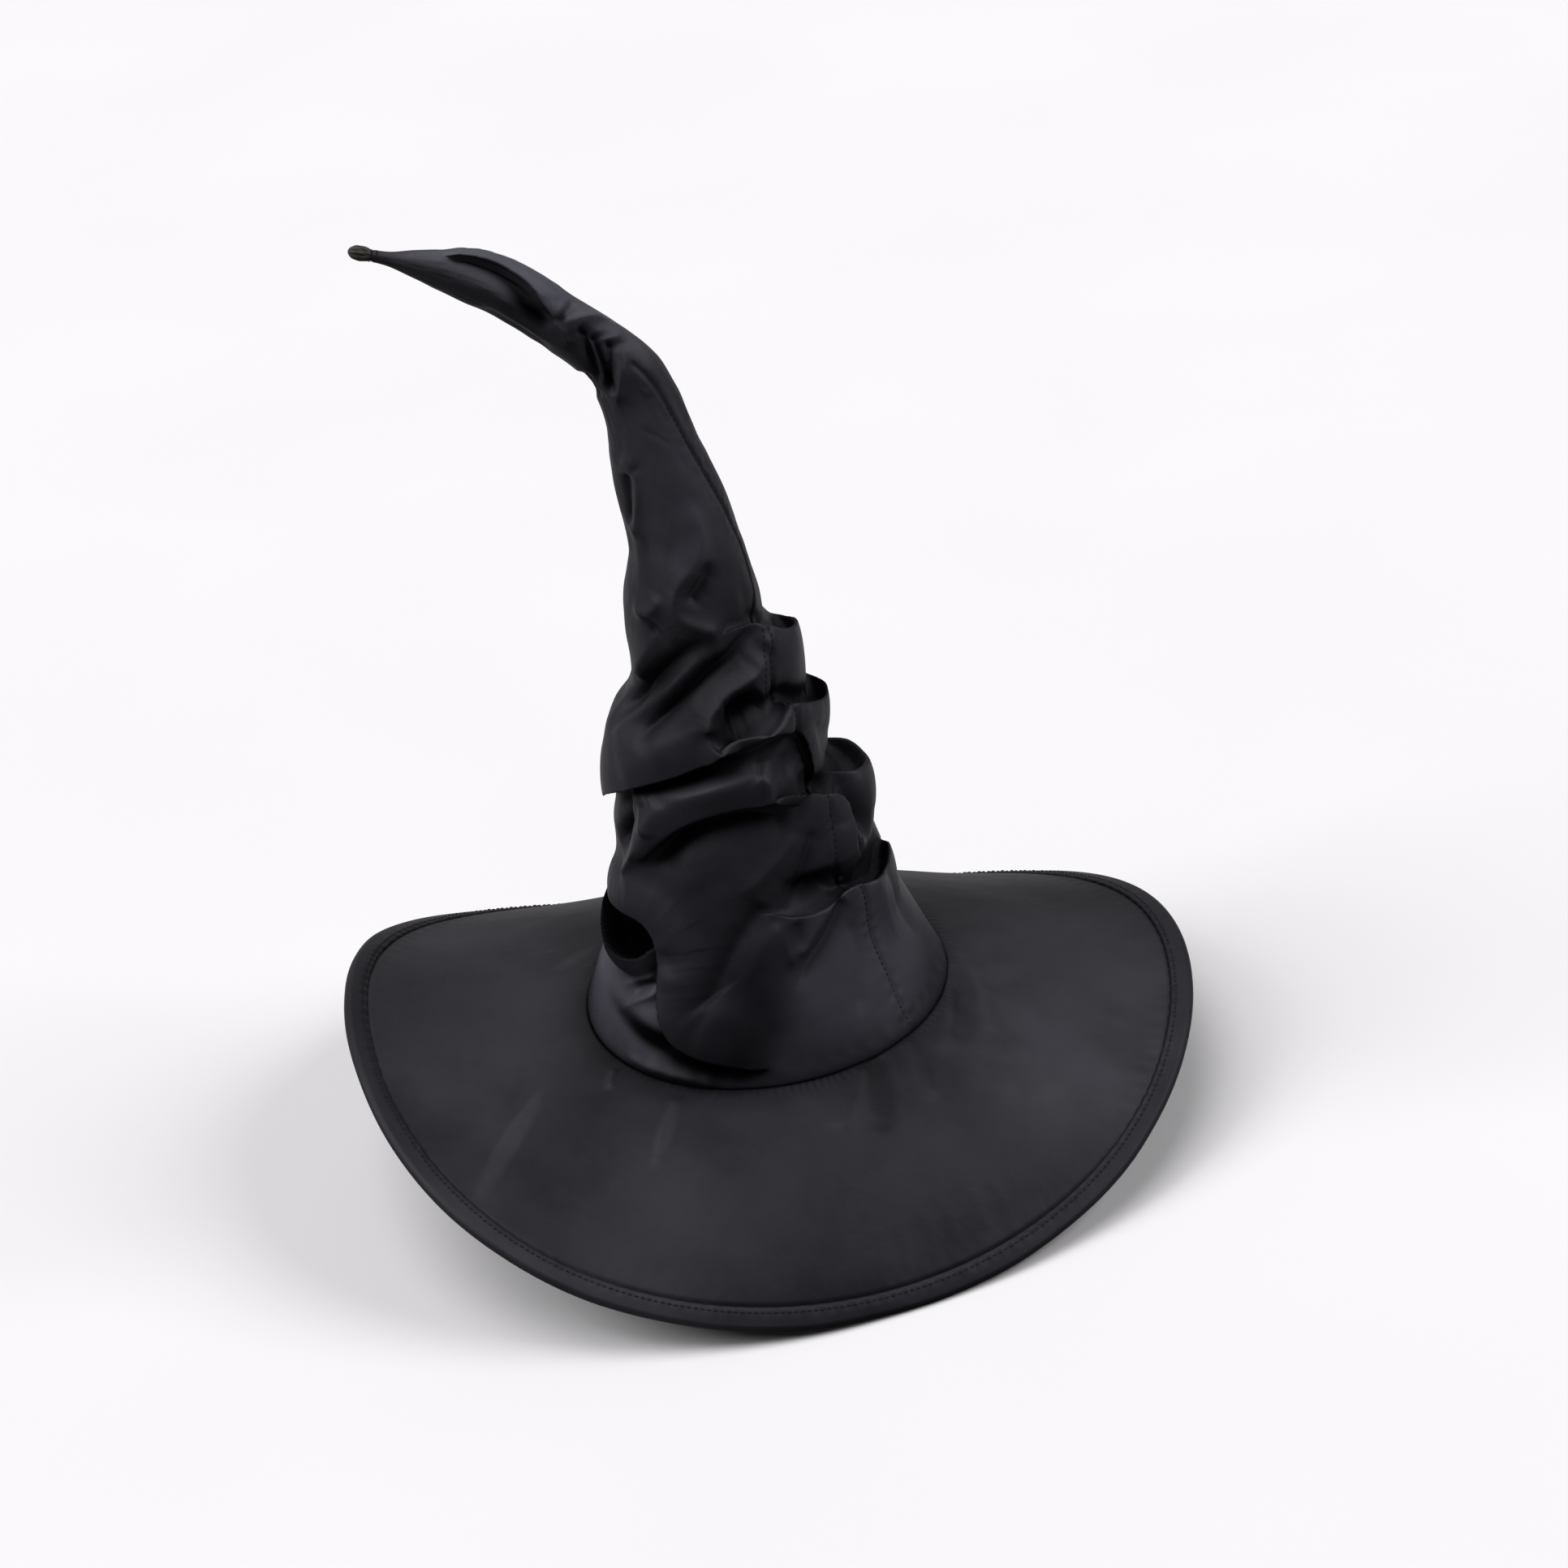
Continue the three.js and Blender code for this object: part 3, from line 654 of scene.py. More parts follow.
def wrinkle(cloth):
    """Fine irregularity: broad slackness, and puckers where the crown meets the brim."""
    turns = cloth.U / 360
    slack = value_noise(turns * 22, cloth.V / 17, 22, 3) + 0.5 * value_noise(turns * 44, cloth.V / 8, 44, 4)
    cloth.push[..., 0] += 0.35 * slack * smooth(4, 30, cloth.V) * smooth(478, 440, cloth.V)
    front_right = np.exp(-(((cloth.U - 62) / 40) ** 2))
    shift = 2 * value_noise(turns * 40, cloth.V * 0, 40, 5)
    wave = np.sin(np.radians(cloth.U) * CROWN_RADIUS * 2 * np.pi / PUCKER_LENGTH + shift)
    foot = np.exp(-(((cloth.V - 4) / 5) ** 2))
    cloth.push[..., 0] += 0.5 * wave * foot * (0.35 + 0.65 * front_right)
    # Hollows are deepened where the cloth is ruched, and all but closed at the foot, where the brim holds it.
    inward = cloth.push[..., 0] < 0
    cloth.push[..., 0] *= np.where(inward, 1 + 0.3 * smooth(60, 90, cloth.V) * smooth(262, 240, cloth.V), 1)
    cloth.push[..., 0] *= np.where(inward, 0.25 + 0.75 * smooth(2, 9, cloth.V), 1)


# ---------------------------------------------------------------- brim
def seam_slope(phi):
    return np.radians(13 + 8 * np.cos(phi) - 1.5 * np.cos(2 * phi))


def edge_slope(phi):
    saddle = 37.5 * np.cos(2 * (phi - np.radians(4))) + 3 * np.cos(4 * phi)
    return np.radians(19 + 13.5 * np.cos(phi) + 2 * np.sin(phi) - saddle)


def brim_point(phi, radius, lift):
    """A place on the brim: direction round from +X, radius along the cloth and height over its upper face."""
    along = radius - CROWN_RADIUS
    turn = (edge_slope(phi) - seam_slope(phi)) * along / BRIM_WIDTH
    middle = seam_slope(phi) + turn / 2
    chord = along * np.sinc(turn / 2 / np.pi)
    slope = seam_slope(phi) + turn
    out = CROWN_RADIUS + chord * np.cos(middle) + lift * np.sin(slope)
    height = -chord * np.sin(middle) + lift * np.cos(slope)
    return np.stack([out * np.cos(phi), out * np.sin(phi), height], -1)


def brim_relief(phi, radius):
    """How far the upper satin stands off the smooth brim: slack over the foam, puckers and creases."""
    turns = phi / (2 * np.pi)
    slack = 0.5 * value_noise(turns * 18, radius / 34, 18, 11)
    slack += 0.25 * value_noise(turns * 40, radius / 17, 40, 12)
    relief = slack * smooth(96, 120, radius) * smooth(212, 196, radius)
    pucker = np.sin(phi * 150 + 2.5 * value_noise(turns * 60, radius * 0, 60, 13))
    at_seam = np.exp(-((radius - 96) / 4) ** 2)
    at_edge = np.exp(-((radius - 205) / 5) ** 2)
    some = 0.35 + 0.65 * np.clip(value_noise(turns * 14, radius * 0, 14, 14) + 0.3, 0, 1)
    relief += 0.2 * pucker * some * (at_seam + 0.7 * at_edge)
    for path, height, width in BRIM_CREASES:
        relief += crease(phi, radius, path, height, width)
    for degrees in (-78, -74.5, -70, -66, -61, -57):
        pulled = [(degrees, 207), (degrees + 0.8, 194), (degrees + 1.2, 182)]
        relief += crease(phi, radius, pulled, 0.18, 3.4)
    return np.where(relief < 0, -FOAM_GAP * np.tanh(-relief / FOAM_GAP), relief)


def crease(phi, radius, path, height, width):
    """A soft ridge on the brim along points of (degrees from +X, radius)."""
    nearest = np.full(phi.shape, np.inf)
    for degrees, reach in curve_through(path, 1.0):
        gap = (phi - np.radians(degrees) + np.pi) % (2 * np.pi) - np.pi
        nearest = np.minimum(nearest, (gap * reach) ** 2 + (radius - reach) ** 2)
    return height * np.exp(-nearest / width**2)


# ---------------------------------------------------------------- materials
class Nodes:
    """A material's node tree, with its Principled shader."""

    def __init__(self, name):
        self.material = bpy.data.materials.new(name)
        self.material.use_nodes = True
        self.tree = self.material.node_tree
        self.solid = self.add("ShaderNodeTexCoord", {}).outputs["Object"]

    def feed(self, node, sockets):
        """Gives a node's sockets their values, or links them to other nodes' outputs."""
        for key, value in sockets.items():
            if isinstance(value, bpy.types.NodeSocket):
                self.tree.links.new(value, node.inputs[key])
            else:
                node.inputs[key].default_value = value

    def add(self, kind, sockets, **settings):
        node = self.tree.nodes.new(kind)
        for key, value in settings.items():
            setattr(node, key, value)
        self.feed(node, sockets)
        return node

    def finish(self, **sockets):
        """Sets the shader's sockets, with _ for each space of a name, and gives the material."""
        shader = self.tree.nodes["Principled BSDF"]
        self.feed(shader, {key.replace("_", " "): value for key, value in sockets.items()})
        return self.material

    def noise(self, scale, detail=2.0, roughness=0.5):
        sockets = {"Vector": self.solid, "Scale": scale, "Detail": detail, "Roughness": roughness}
        return self.add("ShaderNodeTexNoise", sockets).outputs["Fac"]

    def wave(self, coordinates, scale, direction, distortion):
        sockets = {"Vector": coordinates, "Scale": scale, "Distortion": distortion}
        return self.add("ShaderNodeTexWave", sockets, bands_direction=direction).outputs["Fac"]

    def ramp(self, factor, low, dark, high, light):
        """From the colour dark, where factor is low or less, to light, where it is high or more."""
        node = self.add("ShaderNodeValToRGB", {"Fac": factor})
        for element, place, colour in zip(node.color_ramp.elements, (low, high), (dark, light)):
            element.position = place
            element.color = (*colour, 1)
        return node.outputs["Color"]

    def span(self, factor, low, high, to_low, to_high, kind="LINEAR"):
        sockets = {"Value": factor, "From Min": low, "From Max": high, "To Min": to_low, "To Max": to_high}
        return self.add("ShaderNodeMapRange", sockets, interpolation_type=kind).outputs["Result"]

    def scale(self, tone, factor):
        sockets = {0: tone, "Scale": factor}
        return self.add("ShaderNodeVectorMath", sockets, operation="SCALE").outputs["Vector"]

    def patch(self, tone, coordinates, centre, size, angle, change):
        """A soft oval, in mm of cloth, over which the tone is multiplied by change."""
        sockets = {
            "Vector": coordinates,
            "Location": (centre[0] * MM, centre[1] * MM, 0),
            "Rotation": (0, 0, math.radians(angle)),
            "Scale": (size[0] * MM, size[1] * MM, 1),
        }
        oval = self.add("ShaderNodeMapping", sockets, vector_type="TEXTURE").outputs["Vector"]
        away = self.add("ShaderNodeVectorMath", {0: oval}, operation="LENGTH").outputs["Value"]
        return self.scale(tone, self.span(away, *PATCH_EDGE, change, 1.0, "SMOOTHSTEP"))

    def hollows(self, reach, power):
        """Painted shade for folds: an ambient occlusion factor, 1 on open cloth and falling to 0 deep in a
        fold, that darkens the tone.
        """
        shade = self.add("ShaderNodeAmbientOcclusion", {"Distance": reach}, samples=8).outputs["AO"]
        return self.add("ShaderNodeMath", {0: shade, 1: power}, operation="POWER").outputs["Value"]

    def bump(self, heights):
        """Bumps laid one on another: (height output, distance in metres, strength)."""
        below = {}
        for height, distance, strength in heights:
            sockets = {"Height": height, "Distance": distance, "Strength": strength, **below}
            below = {"Normal": self.add("ShaderNodeBump", sockets).outputs["Normal"]}
        return below["Normal"]


def grey(value, blue=1.0):
    return (value, value * 0.98, value * blue)


def satin(name, dark, light, roughness, blue=1.3, painted_light=()):
    """Polyester satin: fine slanting floats, a slightly uneven sheen and faint crumples. Its tone takes
    patches of painted sheen and painted shade, and painted shade deep in folds, and its specular sheen
    follows its tone, so deep folds stay black."""
    n = Nodes(name)
    place = n.add("ShaderNodeUVMap", {}, uv_map="cloth").outputs["UV"]
    broad = n.noise(18, 3, 0.6)
    tone = n.ramp(broad, 0.3, grey(dark, blue), 0.7, grey(light, blue))
    # patches of painted sheen and painted shade multiply the tone
    for painted_patch in painted_light:
        tone = n.patch(tone, place, *painted_patch)
    # painted shade: the tone darkens deep in folds
    tone = n.scale(tone, n.hollows(0.018, 1.7))
    slant = {"Vector": place, "Rotation": (0, 0, math.radians(27))}
    floats = n.wave(n.add("ShaderNodeMapping", slant).outputs["Vector"], 700, "X", 1.5)
    crumple, slubs, fibres = n.noise(55, 3, 0.55), n.noise(260, 3, 0.7), n.noise(900, 2, 0.6)
    bumps = [(crumple, 0.0014, 0.3), (slubs, 0.0003, 0.2), (floats, 0.0001, 0.3), (fibres, 0.0001, 0.3)]
    return n.finish(
        Base_Color=tone,
        # the specular sheen follows the painted tone, so painted shade and painted sheen set it too
        Specular_IOR_Level=n.span(tone, 0, dark + light, 0, 0.09),
        Specular_Tint=(0.92, 0.92, 1, 1),
        Roughness=n.span(broad, 0.3, 0.7, roughness - 0.04, roughness + 0.05),
        Normal=n.bump(bumps),
    )


def plain_cloth(name, colour, roughness=0.75, scale=900, ribs=False, laid_out=True):
    """Plain woven cloth, or ribbed ribbon; laid_out if the piece carries its cloth's own directions."""
    n = Nodes(name)
    place = n.add("ShaderNodeUVMap", {}, uv_map="cloth").outputs["UV"] if laid_out else n.solid
    heights = [(n.wave(place, scale, "X", 0.4), 0.0003, 0.6 if ribs else 0.3)]
    if not ribs:
        heights.append((n.wave(place, scale, "Y", 0.4), 0.0003, 0.3))
    heights.append((n.noise(400, 2, 0.6), 0.0002, 0.4))
    darker = tuple(c * 0.75 for c in colour)
    return n.finish(
        Base_Color=n.ramp(n.noise(30, 3, 0.6), 0.3, darker, 0.7, colour),
        Roughness=roughness,
        Sheen_Weight=0.1,
        Specular_IOR_Level=0.3,
        Normal=n.bump(heights),
    )


def steel(name):
    """Drawn steel wire, a little tarnished."""
    n = Nodes(name)
    tarnish = n.noise(120, 4, 0.6)
    return n.finish(
        Base_Color=n.ramp(tarnish, 0.3, (0.30, 0.29, 0.28), 0.7, (0.46, 0.46, 0.45)),
        Roughness=n.span(tarnish, 0.3, 0.7, 0.28, 0.42),
        Metallic=1.0,
        Normal=n.bump([(n.noise(1600, 2), 0.0001, 0.3)]),
    )


def foam(name):
    """Grey polyurethane foam with open cells."""
    n = Nodes(name)
    cells = n.add("ShaderNodeTexVoronoi", {"Vector": n.solid, "Scale": 900}).outputs["Distance"]
    return n.finish(
        Base_Color=n.ramp(cells, 0.0, (0.030, 0.030, 0.032), 0.6, (0.075, 0.075, 0.078)),
        Roughness=0.95,
        Specular_IOR_Level=0.1,
        Normal=n.bump([(cells, 0.0006, 0.8)]),
    )


def thread(name, tone):
    """Twisted sewing thread."""
    n = Nodes(name)
    return n.finish(
        Base_Color=n.ramp(n.noise(700), 0.3, grey(tone), 0.7, grey(tone * 1.8)),
        Roughness=0.8,
        Specular_IOR_Level=0.03,
        Normal=n.bump([(n.wave(n.solid, 900, "DIAGONAL", 1.0), 0.0002, 0.6)]),
    )


# ---------------------------------------------------------------- pieces
def add_material(piece, material):
    piece.data.materials.clear()
    piece.data.materials.append(material)


def sew(name, strands, radius, material, body):
    """Thread that rides a body."""
    piece = thread_mesh(name, strands, radius)
    add_material(piece, material)
    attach(piece, body)
    return piece


def cover(name, points, material, slot, node, body="crown", **grid):
    """A piece of cloth that rides a body in place of a CAD node."""
    piece = mesh_from_grid(name, points, **grid)
    add_material(piece, material)
    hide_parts(node)
    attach(piece, body)


def make_cone(material):
    """The cone's cloth, as three meshes: one rides the crown, and the other two are left where they are made.
    """
    foot, crown_top, cone_top = -4.0, 200.0, 300.0
    rows = np.unique(np.r_[
        np.linspace(foot, crown_top, 228), np.linspace(crown_top, cone_top, 104),
        np.linspace(cone_top, CONE_LENGTH, 170),
    ])
    cloth = ruched_cloth(rows, 360)
    points = cloth.points()
    normals = grid_normals(points)
    uv = np.stack([cloth.U, cloth.V], -1) * MM
    pieces = []
    for name, start, stop, nodes in (
        ("crown_satin", foot, crown_top, ["crown_cover", "crown_stiffener"]),
        ("cone_satin", crown_top, cone_top, ["cone_cover"]),
        ("tip_satin", cone_top, CONE_LENGTH, ["tip_cover"]),
    ):
        band = (rows >= start - 1e-6) & (rows <= stop + 1e-6)
        piece = mesh_from_grid(name, points[band], uv=uv[band], normals=normals[band])
        add_material(piece, material)
        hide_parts(*nodes)
        pieces.append(piece)

    def place(v):
        x, z, _, _ = cloth.spine.at(v)
        return (float(x) * MM, 0, float(z) * MM)

    crown, cone, tip = pieces
    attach(crown, "crown")
    (low, high), (tip_low, tip_high) = WAIST_BEND, ELBOW_BEND
    place(WAIST_AT - low)
    place(WAIST_AT + high)
    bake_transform(cone)
    place(ELBOW_AT - tip_low)
    place(ELBOW_AT + tip_high)
    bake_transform(tip)
    return cloth


def inside_grid(cloth, turns, heights, radius_in):
    """A grid of points inside the crown, with its turns and heights. Its radius is radius_in(turns,
    heights, room), where room is the radius that the folds leave."""
    T, V = np.meshgrid(turns, heights)
    radius = radius_in(T, V, cloth.inner_radius(heights, turns))
    return T, V, cloth.spine.round_it(2 * np.pi * T, V, radius)


def make_lining(cloth, material, ribbon, sewing):
    """The lining hangs inside the crown, clear of every fold, and is gathered to a closed top, and a ribbed
    ribbon is sewn round its foot as the sweatband."""
    dome_height = 14.0
    dome_foot = LINING_TOP - dome_height
    turns = np.linspace(0, 1, 240, endpoint=False)

    def lining_radius(T, V, room):
        dome = np.sqrt(np.clip(1 - (np.maximum(V - dome_foot, 0) / (dome_height + 0.2)) ** 2, 0.004, 1))
        slack = 0.9 * value_noise(T * 14, V / 24, 14, 41) + 0.5 * value_noise(T * 30, V / 14, 30, 42)
        return room * dome - CLOTH_GAP - (1.4 - slack) * smooth(0, 25, V) * dome

    curve = dome_height * np.sin(np.linspace(0.1, 1.5, 10))
    heights = np.r_[np.linspace(0, dome_foot, 60), dome_foot + curve]
    T, V, points = inside_grid(cloth, turns, heights, lining_radius)
    uv = np.stack([T * 500, V], -1) * MM
    cover("crown_lining_cloth", points[:, ::-1], material, "lining", "crown_lining", uv=uv[:, ::-1])

    # The ribbon's inner face and the turned-in top edge behind it.
    inward = np.r_[np.full(21, 1.6), 1.3, 0.9, 0.8, 0.75, 0.75][:, None]

    def ribbon_radius(T, V, room):
        wavy = 1 + value_noise(T * 40, V * 0, 40, 43)
        return room - CLOTH_GAP - inward - 0.25 * smooth(12, BAND_WIDTH, V) * wavy

    heights = np.r_[np.linspace(-2.5, BAND_WIDTH, 22), np.linspace(BAND_WIDTH, BAND_WIDTH - 2, 4)]
    T, V, points = inside_grid(cloth, turns, heights, ribbon_radius)
    uv = np.stack([T * 560, V], -1) * MM
    cover("sweatband_ribbon", points[:, ::-1], ribbon, "ribbon", "sweatband", uv=uv[:, ::-1])
    inside = -grid_normals(points)
    for number, row in enumerate((4, 20), 1):
        line, out = closed_row(points[row]), closed_row(inside[row])
        stitches(f"sweatband_stitches_{number}", line, out, sewing, "crown")


def make_label(cloth, sewing):
    """A blank folded label, sewn by its upper edge to the back of the sweatband."""
    foot = LABEL_TOP - LABEL_HEIGHT
    heights = np.r_[np.linspace(LABEL_TOP, foot, 16), foot - 0.4, np.linspace(foot, LABEL_TOP, 16)]
    away = np.r_[np.linspace(0.5, 0.9, 16), 0.65, np.linspace(0.35, 0.2, 16)][:, None]
    turns = 0.5 + np.linspace(-1, 1, 30) * LABEL_WIDTH / 2 / (2 * np.pi * 86)

    def label_radius(T, V, room):
        return room - 3.0 - away - 0.2 * np.sin((T - 0.5) * 90 + V * 0.2)

    T, V, points = inside_grid(cloth, turns, heights, label_radius)
    uv = np.stack([T * 540, V], -1) * MM
    weave = plain_cloth("label_weave", (0.20, 0.20, 0.19), 0.6, 1400)
    cover("blank_label_cloth", points[:, ::-1], weave, "label", "blank_label", closed=False, uv=uv[:, ::-1])
    normals = -grid_normals(points, closed=False)
    normals *= np.sign((normals[1, 15] * [0, -1, 0]).sum())
    stitches("label_stitches", points[1, 1:-1], normals[1, 1:-1], sewing, "crown", 1.8, 0.8, 0.16)


def make_tacks(cloth, material):
    """Short bars of thread that hold the pleats to the seam."""
    points = cloth.points()
    for number, (degrees, height) in enumerate(TACKS, 1):
        row = int(np.argmin(np.abs(cloth.v - height)))
        column = int(np.argmin(np.abs(cloth.u - degrees)))
        centre, up = points[row, column], points[row + 3, column] - points[row - 3, column]
        out = grid_normals(points[row - 3:row + 4, column - 3:column + 4], closed=False)[3, 3]
        up = up / np.linalg.norm(up)
        side = np.cross(up, out)
        t = np.linspace(-1, 1, 13)[:, None]
        strands = []
        for strand in range(4):
            offset = (strand - 1.5) * 0.45 + 0.12 * np.sin(strand * 2.1)
            stand = 0.25 + 0.35 * (1 - t**2) - 0.9 * t**8
            strands.append(centre + side * offset + up * t * 1.9 + out * stand)
        tack = sew(f"pleat_tack_thread_{number}", strands, 0.28, material, "crown")
        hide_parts(f"pleat_tack_{number}")


def sew_cone(cloth, material):
    """Stitches in the cone's seam, and the short row beside it where the seam was caught down."""
    points = cloth.points()
    normals = grid_normals(points)
    seam = curve_through(SEAM, 1.0)
    for name, low, high, aside, body in (
        ("crown_seam_stitches", -np.inf, 214, 0, "crown"),
        ("cone_seam_stitches", 246, 330, 0, "cone"),
        ("crown_catch_stitches", 181, 212, -6, "crown"),
    ):
        degrees, heights = seam[(seam[:, 1] > low) & (seam[:, 1] < high)].T
        line, out = (cloth.on_cloth(grid, degrees + aside, heights) for grid in (points, normals))
        stitches(name, line, out, material, body, 2.0, 1.2, 0.17)


def make_knot(cloth, sewing):
    """The cone's end, gathered into a small bud and bound at its neck."""
    profile = curve_through([
        (473.5, 2.9), (474.6, 2.5), (476, 2.2), (478, 2.9), (481, 3.3), (484, 3.0), (486, 2.0), (487, 0.9),
        (487.2, 0.15),
    ], 0.3)
    T, V = np.meshgrid(np.linspace(0, 2 * np.pi, 96, endpoint=False), profile[:, 0])
    gathers = np.sin(T * 9 + 0.4 * V) + 0.6 * np.sin(T * 15 - 0.7 * V + 1)
    lumps = value_noise(T / (2 * np.pi) * 7, V / 3, 7, 71)
    radius = profile[:, 1:] * (1 + 0.06 * gathers * smooth(475, 479, V) + 0.12 * lumps * smooth(476, 480, V))
    points, uv = cloth.spine.round_it(T, V, radius), np.stack([T * 3, V], -1) * MM
    dusty = satin("knot_satin", 0.010, 0.016, 0.55, blue=0.85)
    cover("tip_knot_cloth", points, dusty, "satin", "tip_knot", "tip", uv=uv)
    wind = np.linspace(0, 5 * 2 * np.pi, 160)
    height = np.interp(wind, [0, wind[-1]], [474.2, 477.2])
    radius = np.interp(height, profile[:, 0], profile[:, 1]) + 0.15 + 0.1 * np.sin(wind * 1.7)
    sew("tip_knot_thread", [cloth.spine.round_it(wind, height, radius)], 0.26, sewing, "tip")


def finish_hidden_parts():
    """Materials for the parts the cloth covers."""
    metal, padding = steel("drawn_steel"), foam("grey_foam")
    tape = plain_cloth("seam_tape_cloth", (0.012, 0.012, 0.013), scale=500, laid_out=False)
    for material, nodes in (
        (metal, ["brim_wire", "wire_base_plate", "cone_wire_lower", "cone_wire_middle", "cone_wire_upper"]),
        (padding, ["brim_foam_sheet"]),
        (tape, ["crown_seam_tape", "brim_wire_sleeve"]),
    ):
        for node in nodes:
            data = bpy.data.objects[node].data
            data.materials.clear()
            data.materials.append(material)


def brim_top(phi, radius):
    """Height of the upper satin, which dips where it meets the crown and under the binding's stitches."""
    at_crown = np.exp(-((radius - 92.5) / 1.4) ** 2)
    at_binding = np.exp(-((radius - 209.6) / 1.0) ** 2)
    return brim_relief(phi, radius) - 2.2 * at_crown - 0.7 * at_binding


def brim_under(phi, radius):
    slack = 0.35 * value_noise(phi / (2 * np.pi) * 20, radius / 30, 20, 21) - 0.2
    return -BRIM_THICKNESS + slack * smooth(96, 120, radius) * smooth(212, 196, radius)


def make_brim(material):
    """The brim's upper and under satin. Each lies flat when cut, so its weave runs straight across it."""
    radii = np.r_[np.linspace(91.5, 100, 12), np.linspace(101, 196, 96), np.linspace(197, 214, 18)]
    phi = np.linspace(0, 2 * np.pi, 720, endpoint=False)
    for name, node, rows, lift in (
        ("brim_top_satin", "brim_top_panel", radii, brim_top),
        ("brim_under_satin", "brim_under_panel", radii[::-1], brim_under),
    ):
        P, R = np.meshgrid(phi, rows)
        flat = np.stack([R * np.cos(P), R * np.sin(P)], -1) * MM
        cover(name, brim_point(P, R, lift(P, R)), material, "satin", node, uv=flat)


def make_binding(material, sewing):
    """The binding wraps the brim's edge: a leaf on each face, rounded over the wire between them."""
    step = 0.9  # between points of its profile, which is a line of (radius, height over the upper face)
    profile = [(209.4, -0.5), (209.9, 0.5), (211.5, 0.95), (214.5, 1.1)]
    mirror = [(r, -BRIM_THICKNESS - h) for r, h in profile[::-1]]
    middle = -BRIM_THICKNESS / 2
    for a in np.radians(range(80, -81, -16)):
        profile.append((BRIM_EDGE - 3.2 + 3.2 * np.cos(a), middle + (0.9 - middle) * np.sin(a)))
    profile = curve_through(profile + mirror, step)
    phi = np.broadcast_to(np.linspace(0, 2 * np.pi, 1080, endpoint=False), (len(profile), 1080))
    radius, lift = profile[:, :1] + 0 * phi, profile[:, 1:] + 0 * phi
    turns = phi / (2 * np.pi)
    upper = smooth(216, 211, radius) * smooth(-3.5, -1.0, lift)
    lift = lift + upper * (0.22 * np.sin(phi * 170 + 3 * value_noise(turns * 50, 0 * phi, 50, 31)))
    lift = lift + upper * 0.3 * value_noise(turns * 90, 0 * phi, 90, 32)
    radius = radius + 0.5 * value_noise(turns * 36, 0 * phi, 36, 33) * smooth(212, 219, radius)
    # The ends overlap along a slanting line.
    slant = (phi - JOIN_AT) * BINDING_MIDDLE - (radius - 217) * 2.35
    lift = lift + 0.5 * upper * smooth(-1.5, 0, slant) * smooth(7, 1, slant)
    points = brim_point(phi, radius, lift)[::-1]
    across = np.broadcast_to(np.arange(len(profile))[:, None] * step, phi.shape)
    uv = np.stack([phi * BINDING_MIDDLE, across], -1)[::-1] * MM
    cover("brim_binding_satin", points, material, "satin", "brim_edge_binding", uv=uv)
    normals = grid_normals(points)
    for name, sign in (("binding_stitches_upper", 1), ("binding_stitches_under", -1)):
        face = sign * (profile[:, 1] - middle) > 0
        row = len(profile) - 1 - int(np.argmin(np.abs(profile[:, 0] - 212.6) + 100 * ~face))
        stitches(name, closed_row(points[row]), closed_row(normals[row]), sewing, "crown", 2.3, 0.9, 0.24)


def set_camera():
    """The photo's viewpoint: 30 degrees above the brim, the hat leaning a little to its -X side."""
    elevation, roll, distance = math.radians(30), math.radians(-8), 1.585
    ahead = Vector((0, math.cos(elevation), -math.sin(elevation)))
    right, up = Vector((1, 0, 0)), Vector((0, math.sin(elevation), math.cos(elevation)))
    tilted_right = math.cos(roll) * right + math.sin(roll) * up
    tilted_up = -math.sin(roll) * right + math.cos(roll) * up
    target = 0.0089 * tilted_right + 0.1021 * tilted_up
    camera = add_object("camera", bpy.data.cameras.new("camera"))
    turn = Matrix((tilted_right, tilted_up, -ahead)).transposed().to_4x4()
    camera.matrix_world = Matrix.Translation(target - ahead * distance) @ turn
    camera.data.lens = 70
    camera.data.sensor_width = 36
    camera.data.clip_end = 60
    bpy.context.scene.camera = camera


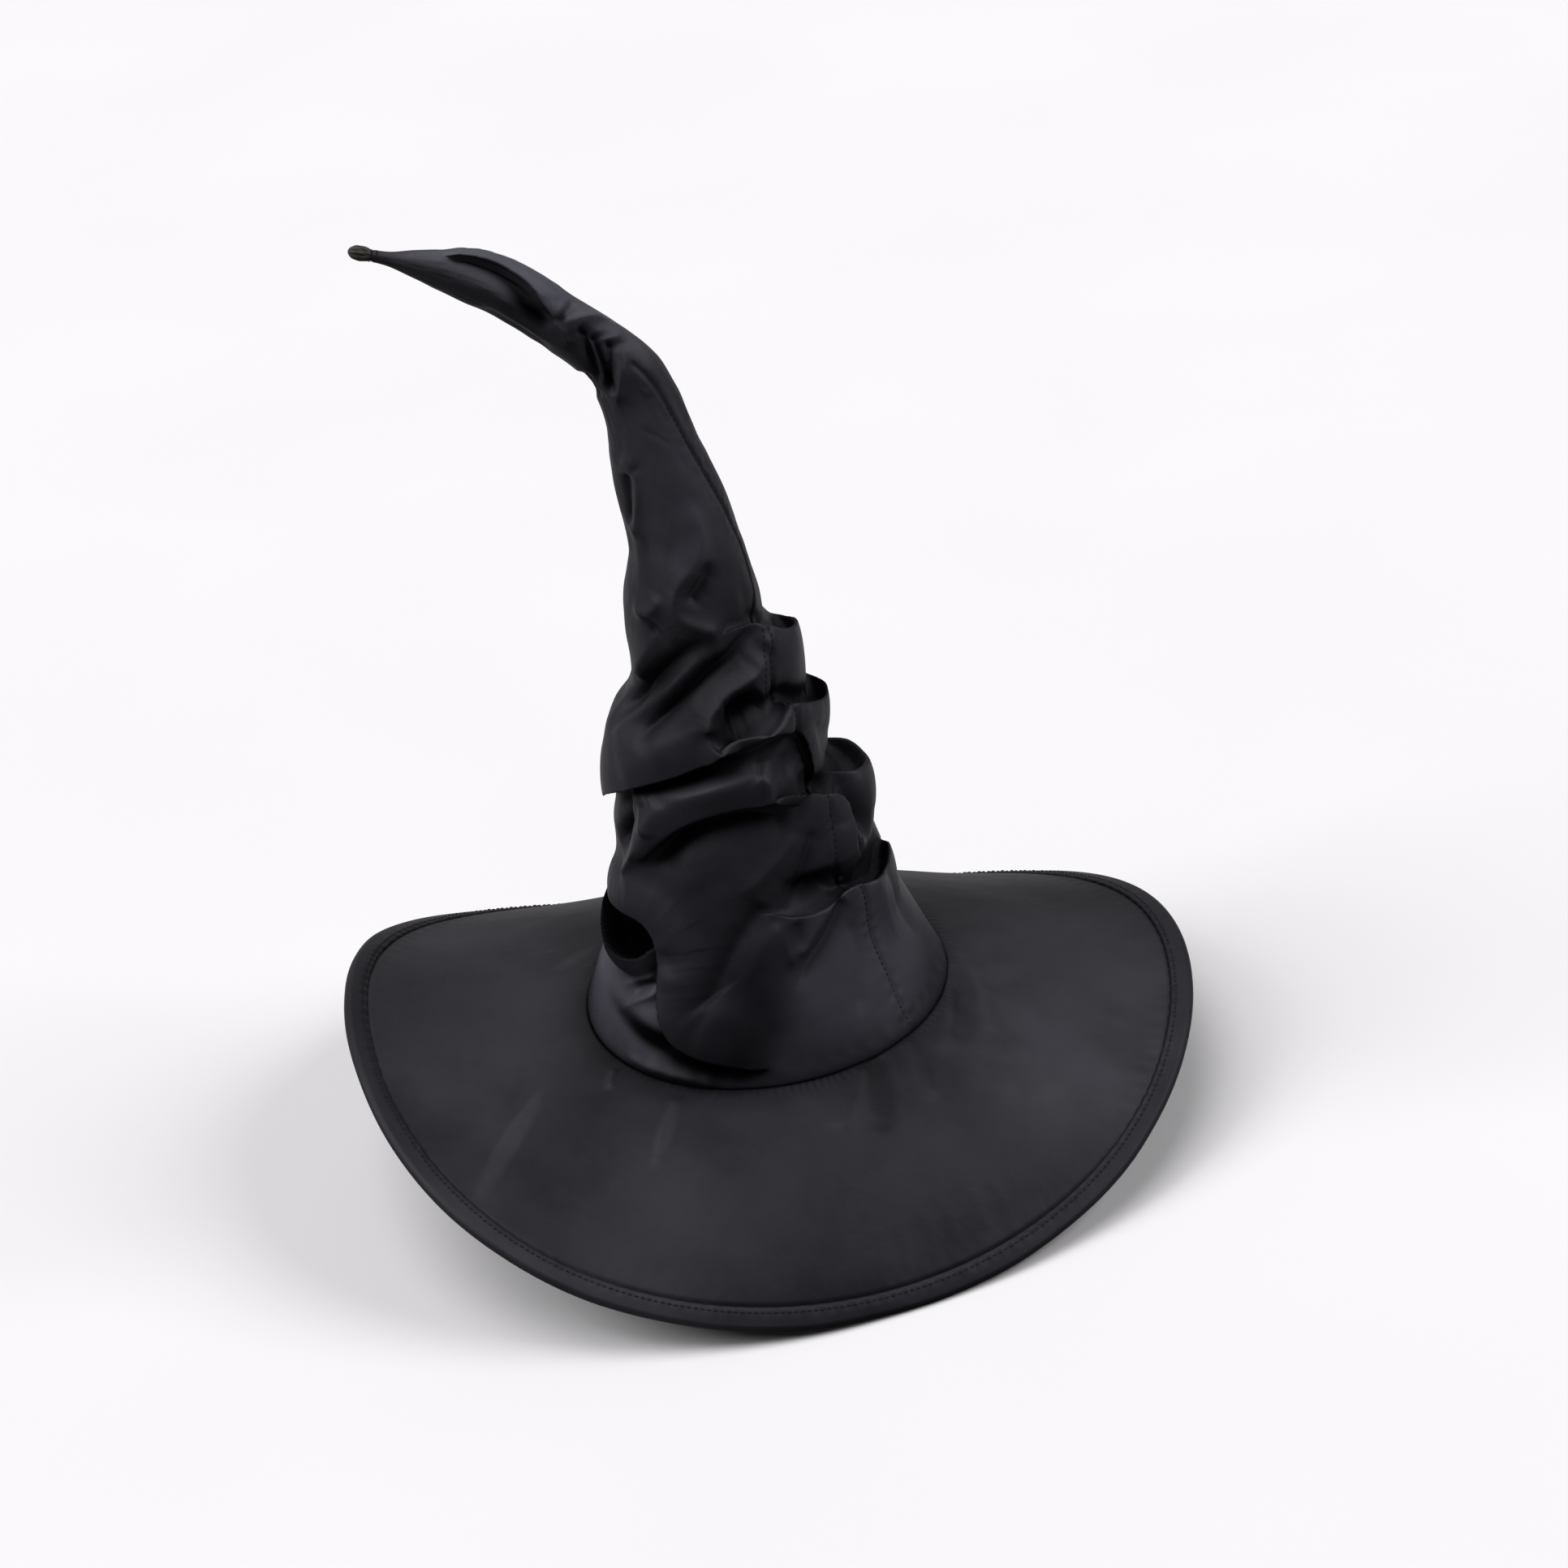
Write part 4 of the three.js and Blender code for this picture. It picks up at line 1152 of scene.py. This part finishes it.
def far_softbox(name, place, spread, strength):
    """A broad soft light too far off to fade across the floor, in the direction of place."""
    light = bpy.data.lights.new(name, "SUN")
    light.angle = math.radians(spread)
    light.energy = strength
    lamp = add_object(name, light)
    lamp.location = place
    lamp.rotation_euler = (-Vector(place)).to_track_quat("-Z", "Y").to_euler()


def make_studio():
    """A pale floor, nearly white under four broad lights: overhead, from each side and from behind."""
    half, lowest = 9000.0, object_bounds()[0][2] / MM
    corners = np.array([[(x, y, lowest) for x in (-half, half)] for y in (-half, half)])
    floor = mesh_from_grid("floor", corners, closed=False)
    n = Nodes("floor_paint")
    paint = n.ramp(n.noise(3), 0.3, grey(FLOOR_GREY), 0.7, grey(FLOOR_GREY * 1.02))
    floor.data.materials.append(n.finish(Base_Color=paint, Roughness=0.95, Specular_IOR_Level=0.0))
    far_softbox("key_softbox", (-0.25, -0.05, 1), 40, 6.5)
    far_softbox("right_softbox", (1, -0.15, 0.9), 30, 6.8)
    far_softbox("left_softbox", (-1, -0.15, 0.9), 30, 6.8)
    far_softbox("back_softbox", (0, 1, 1), 60, 1.0)
    world = bpy.data.worlds.new("studio")
    bpy.context.scene.world = world
    world.use_nodes = True
    world.node_tree.nodes["Background"].inputs["Color"].default_value = (0.2, 0.2, 0.205, 1)
    bpy.context.scene.view_settings.view_transform = "Standard"


def main():
    sewing = thread("black_thread", 0.0036)
    set_camera()
    cloth = make_cone(satin("cone_black_satin", 0.0038, 0.0051, 0.5, painted_light=CONE_PAINTED_SHEEN_AND_SHADE))
    make_lining(cloth, plain_cloth("lining_cloth", (0.012, 0.012, 0.013)),
                plain_cloth("ribbed_ribbon", (0.010, 0.010, 0.011), ribs=True), sewing)
    make_label(cloth, sewing)
    make_tacks(cloth, sewing)
    sew_cone(cloth, sewing)
    make_knot(cloth, sewing)
    # The brim's satin is a darker copy of the cone's, to offset the extra light its upward face takes:
    # painted shade.
    make_brim(satin("black_satin", 0.0018, 0.0027, 0.5, painted_light=BRIM_PAINTED_SHEEN_AND_SHADE))
    make_binding(satin("binding_satin", 0.0026, 0.0036, 0.5), sewing)
    finish_hidden_parts()
    make_studio()


main()
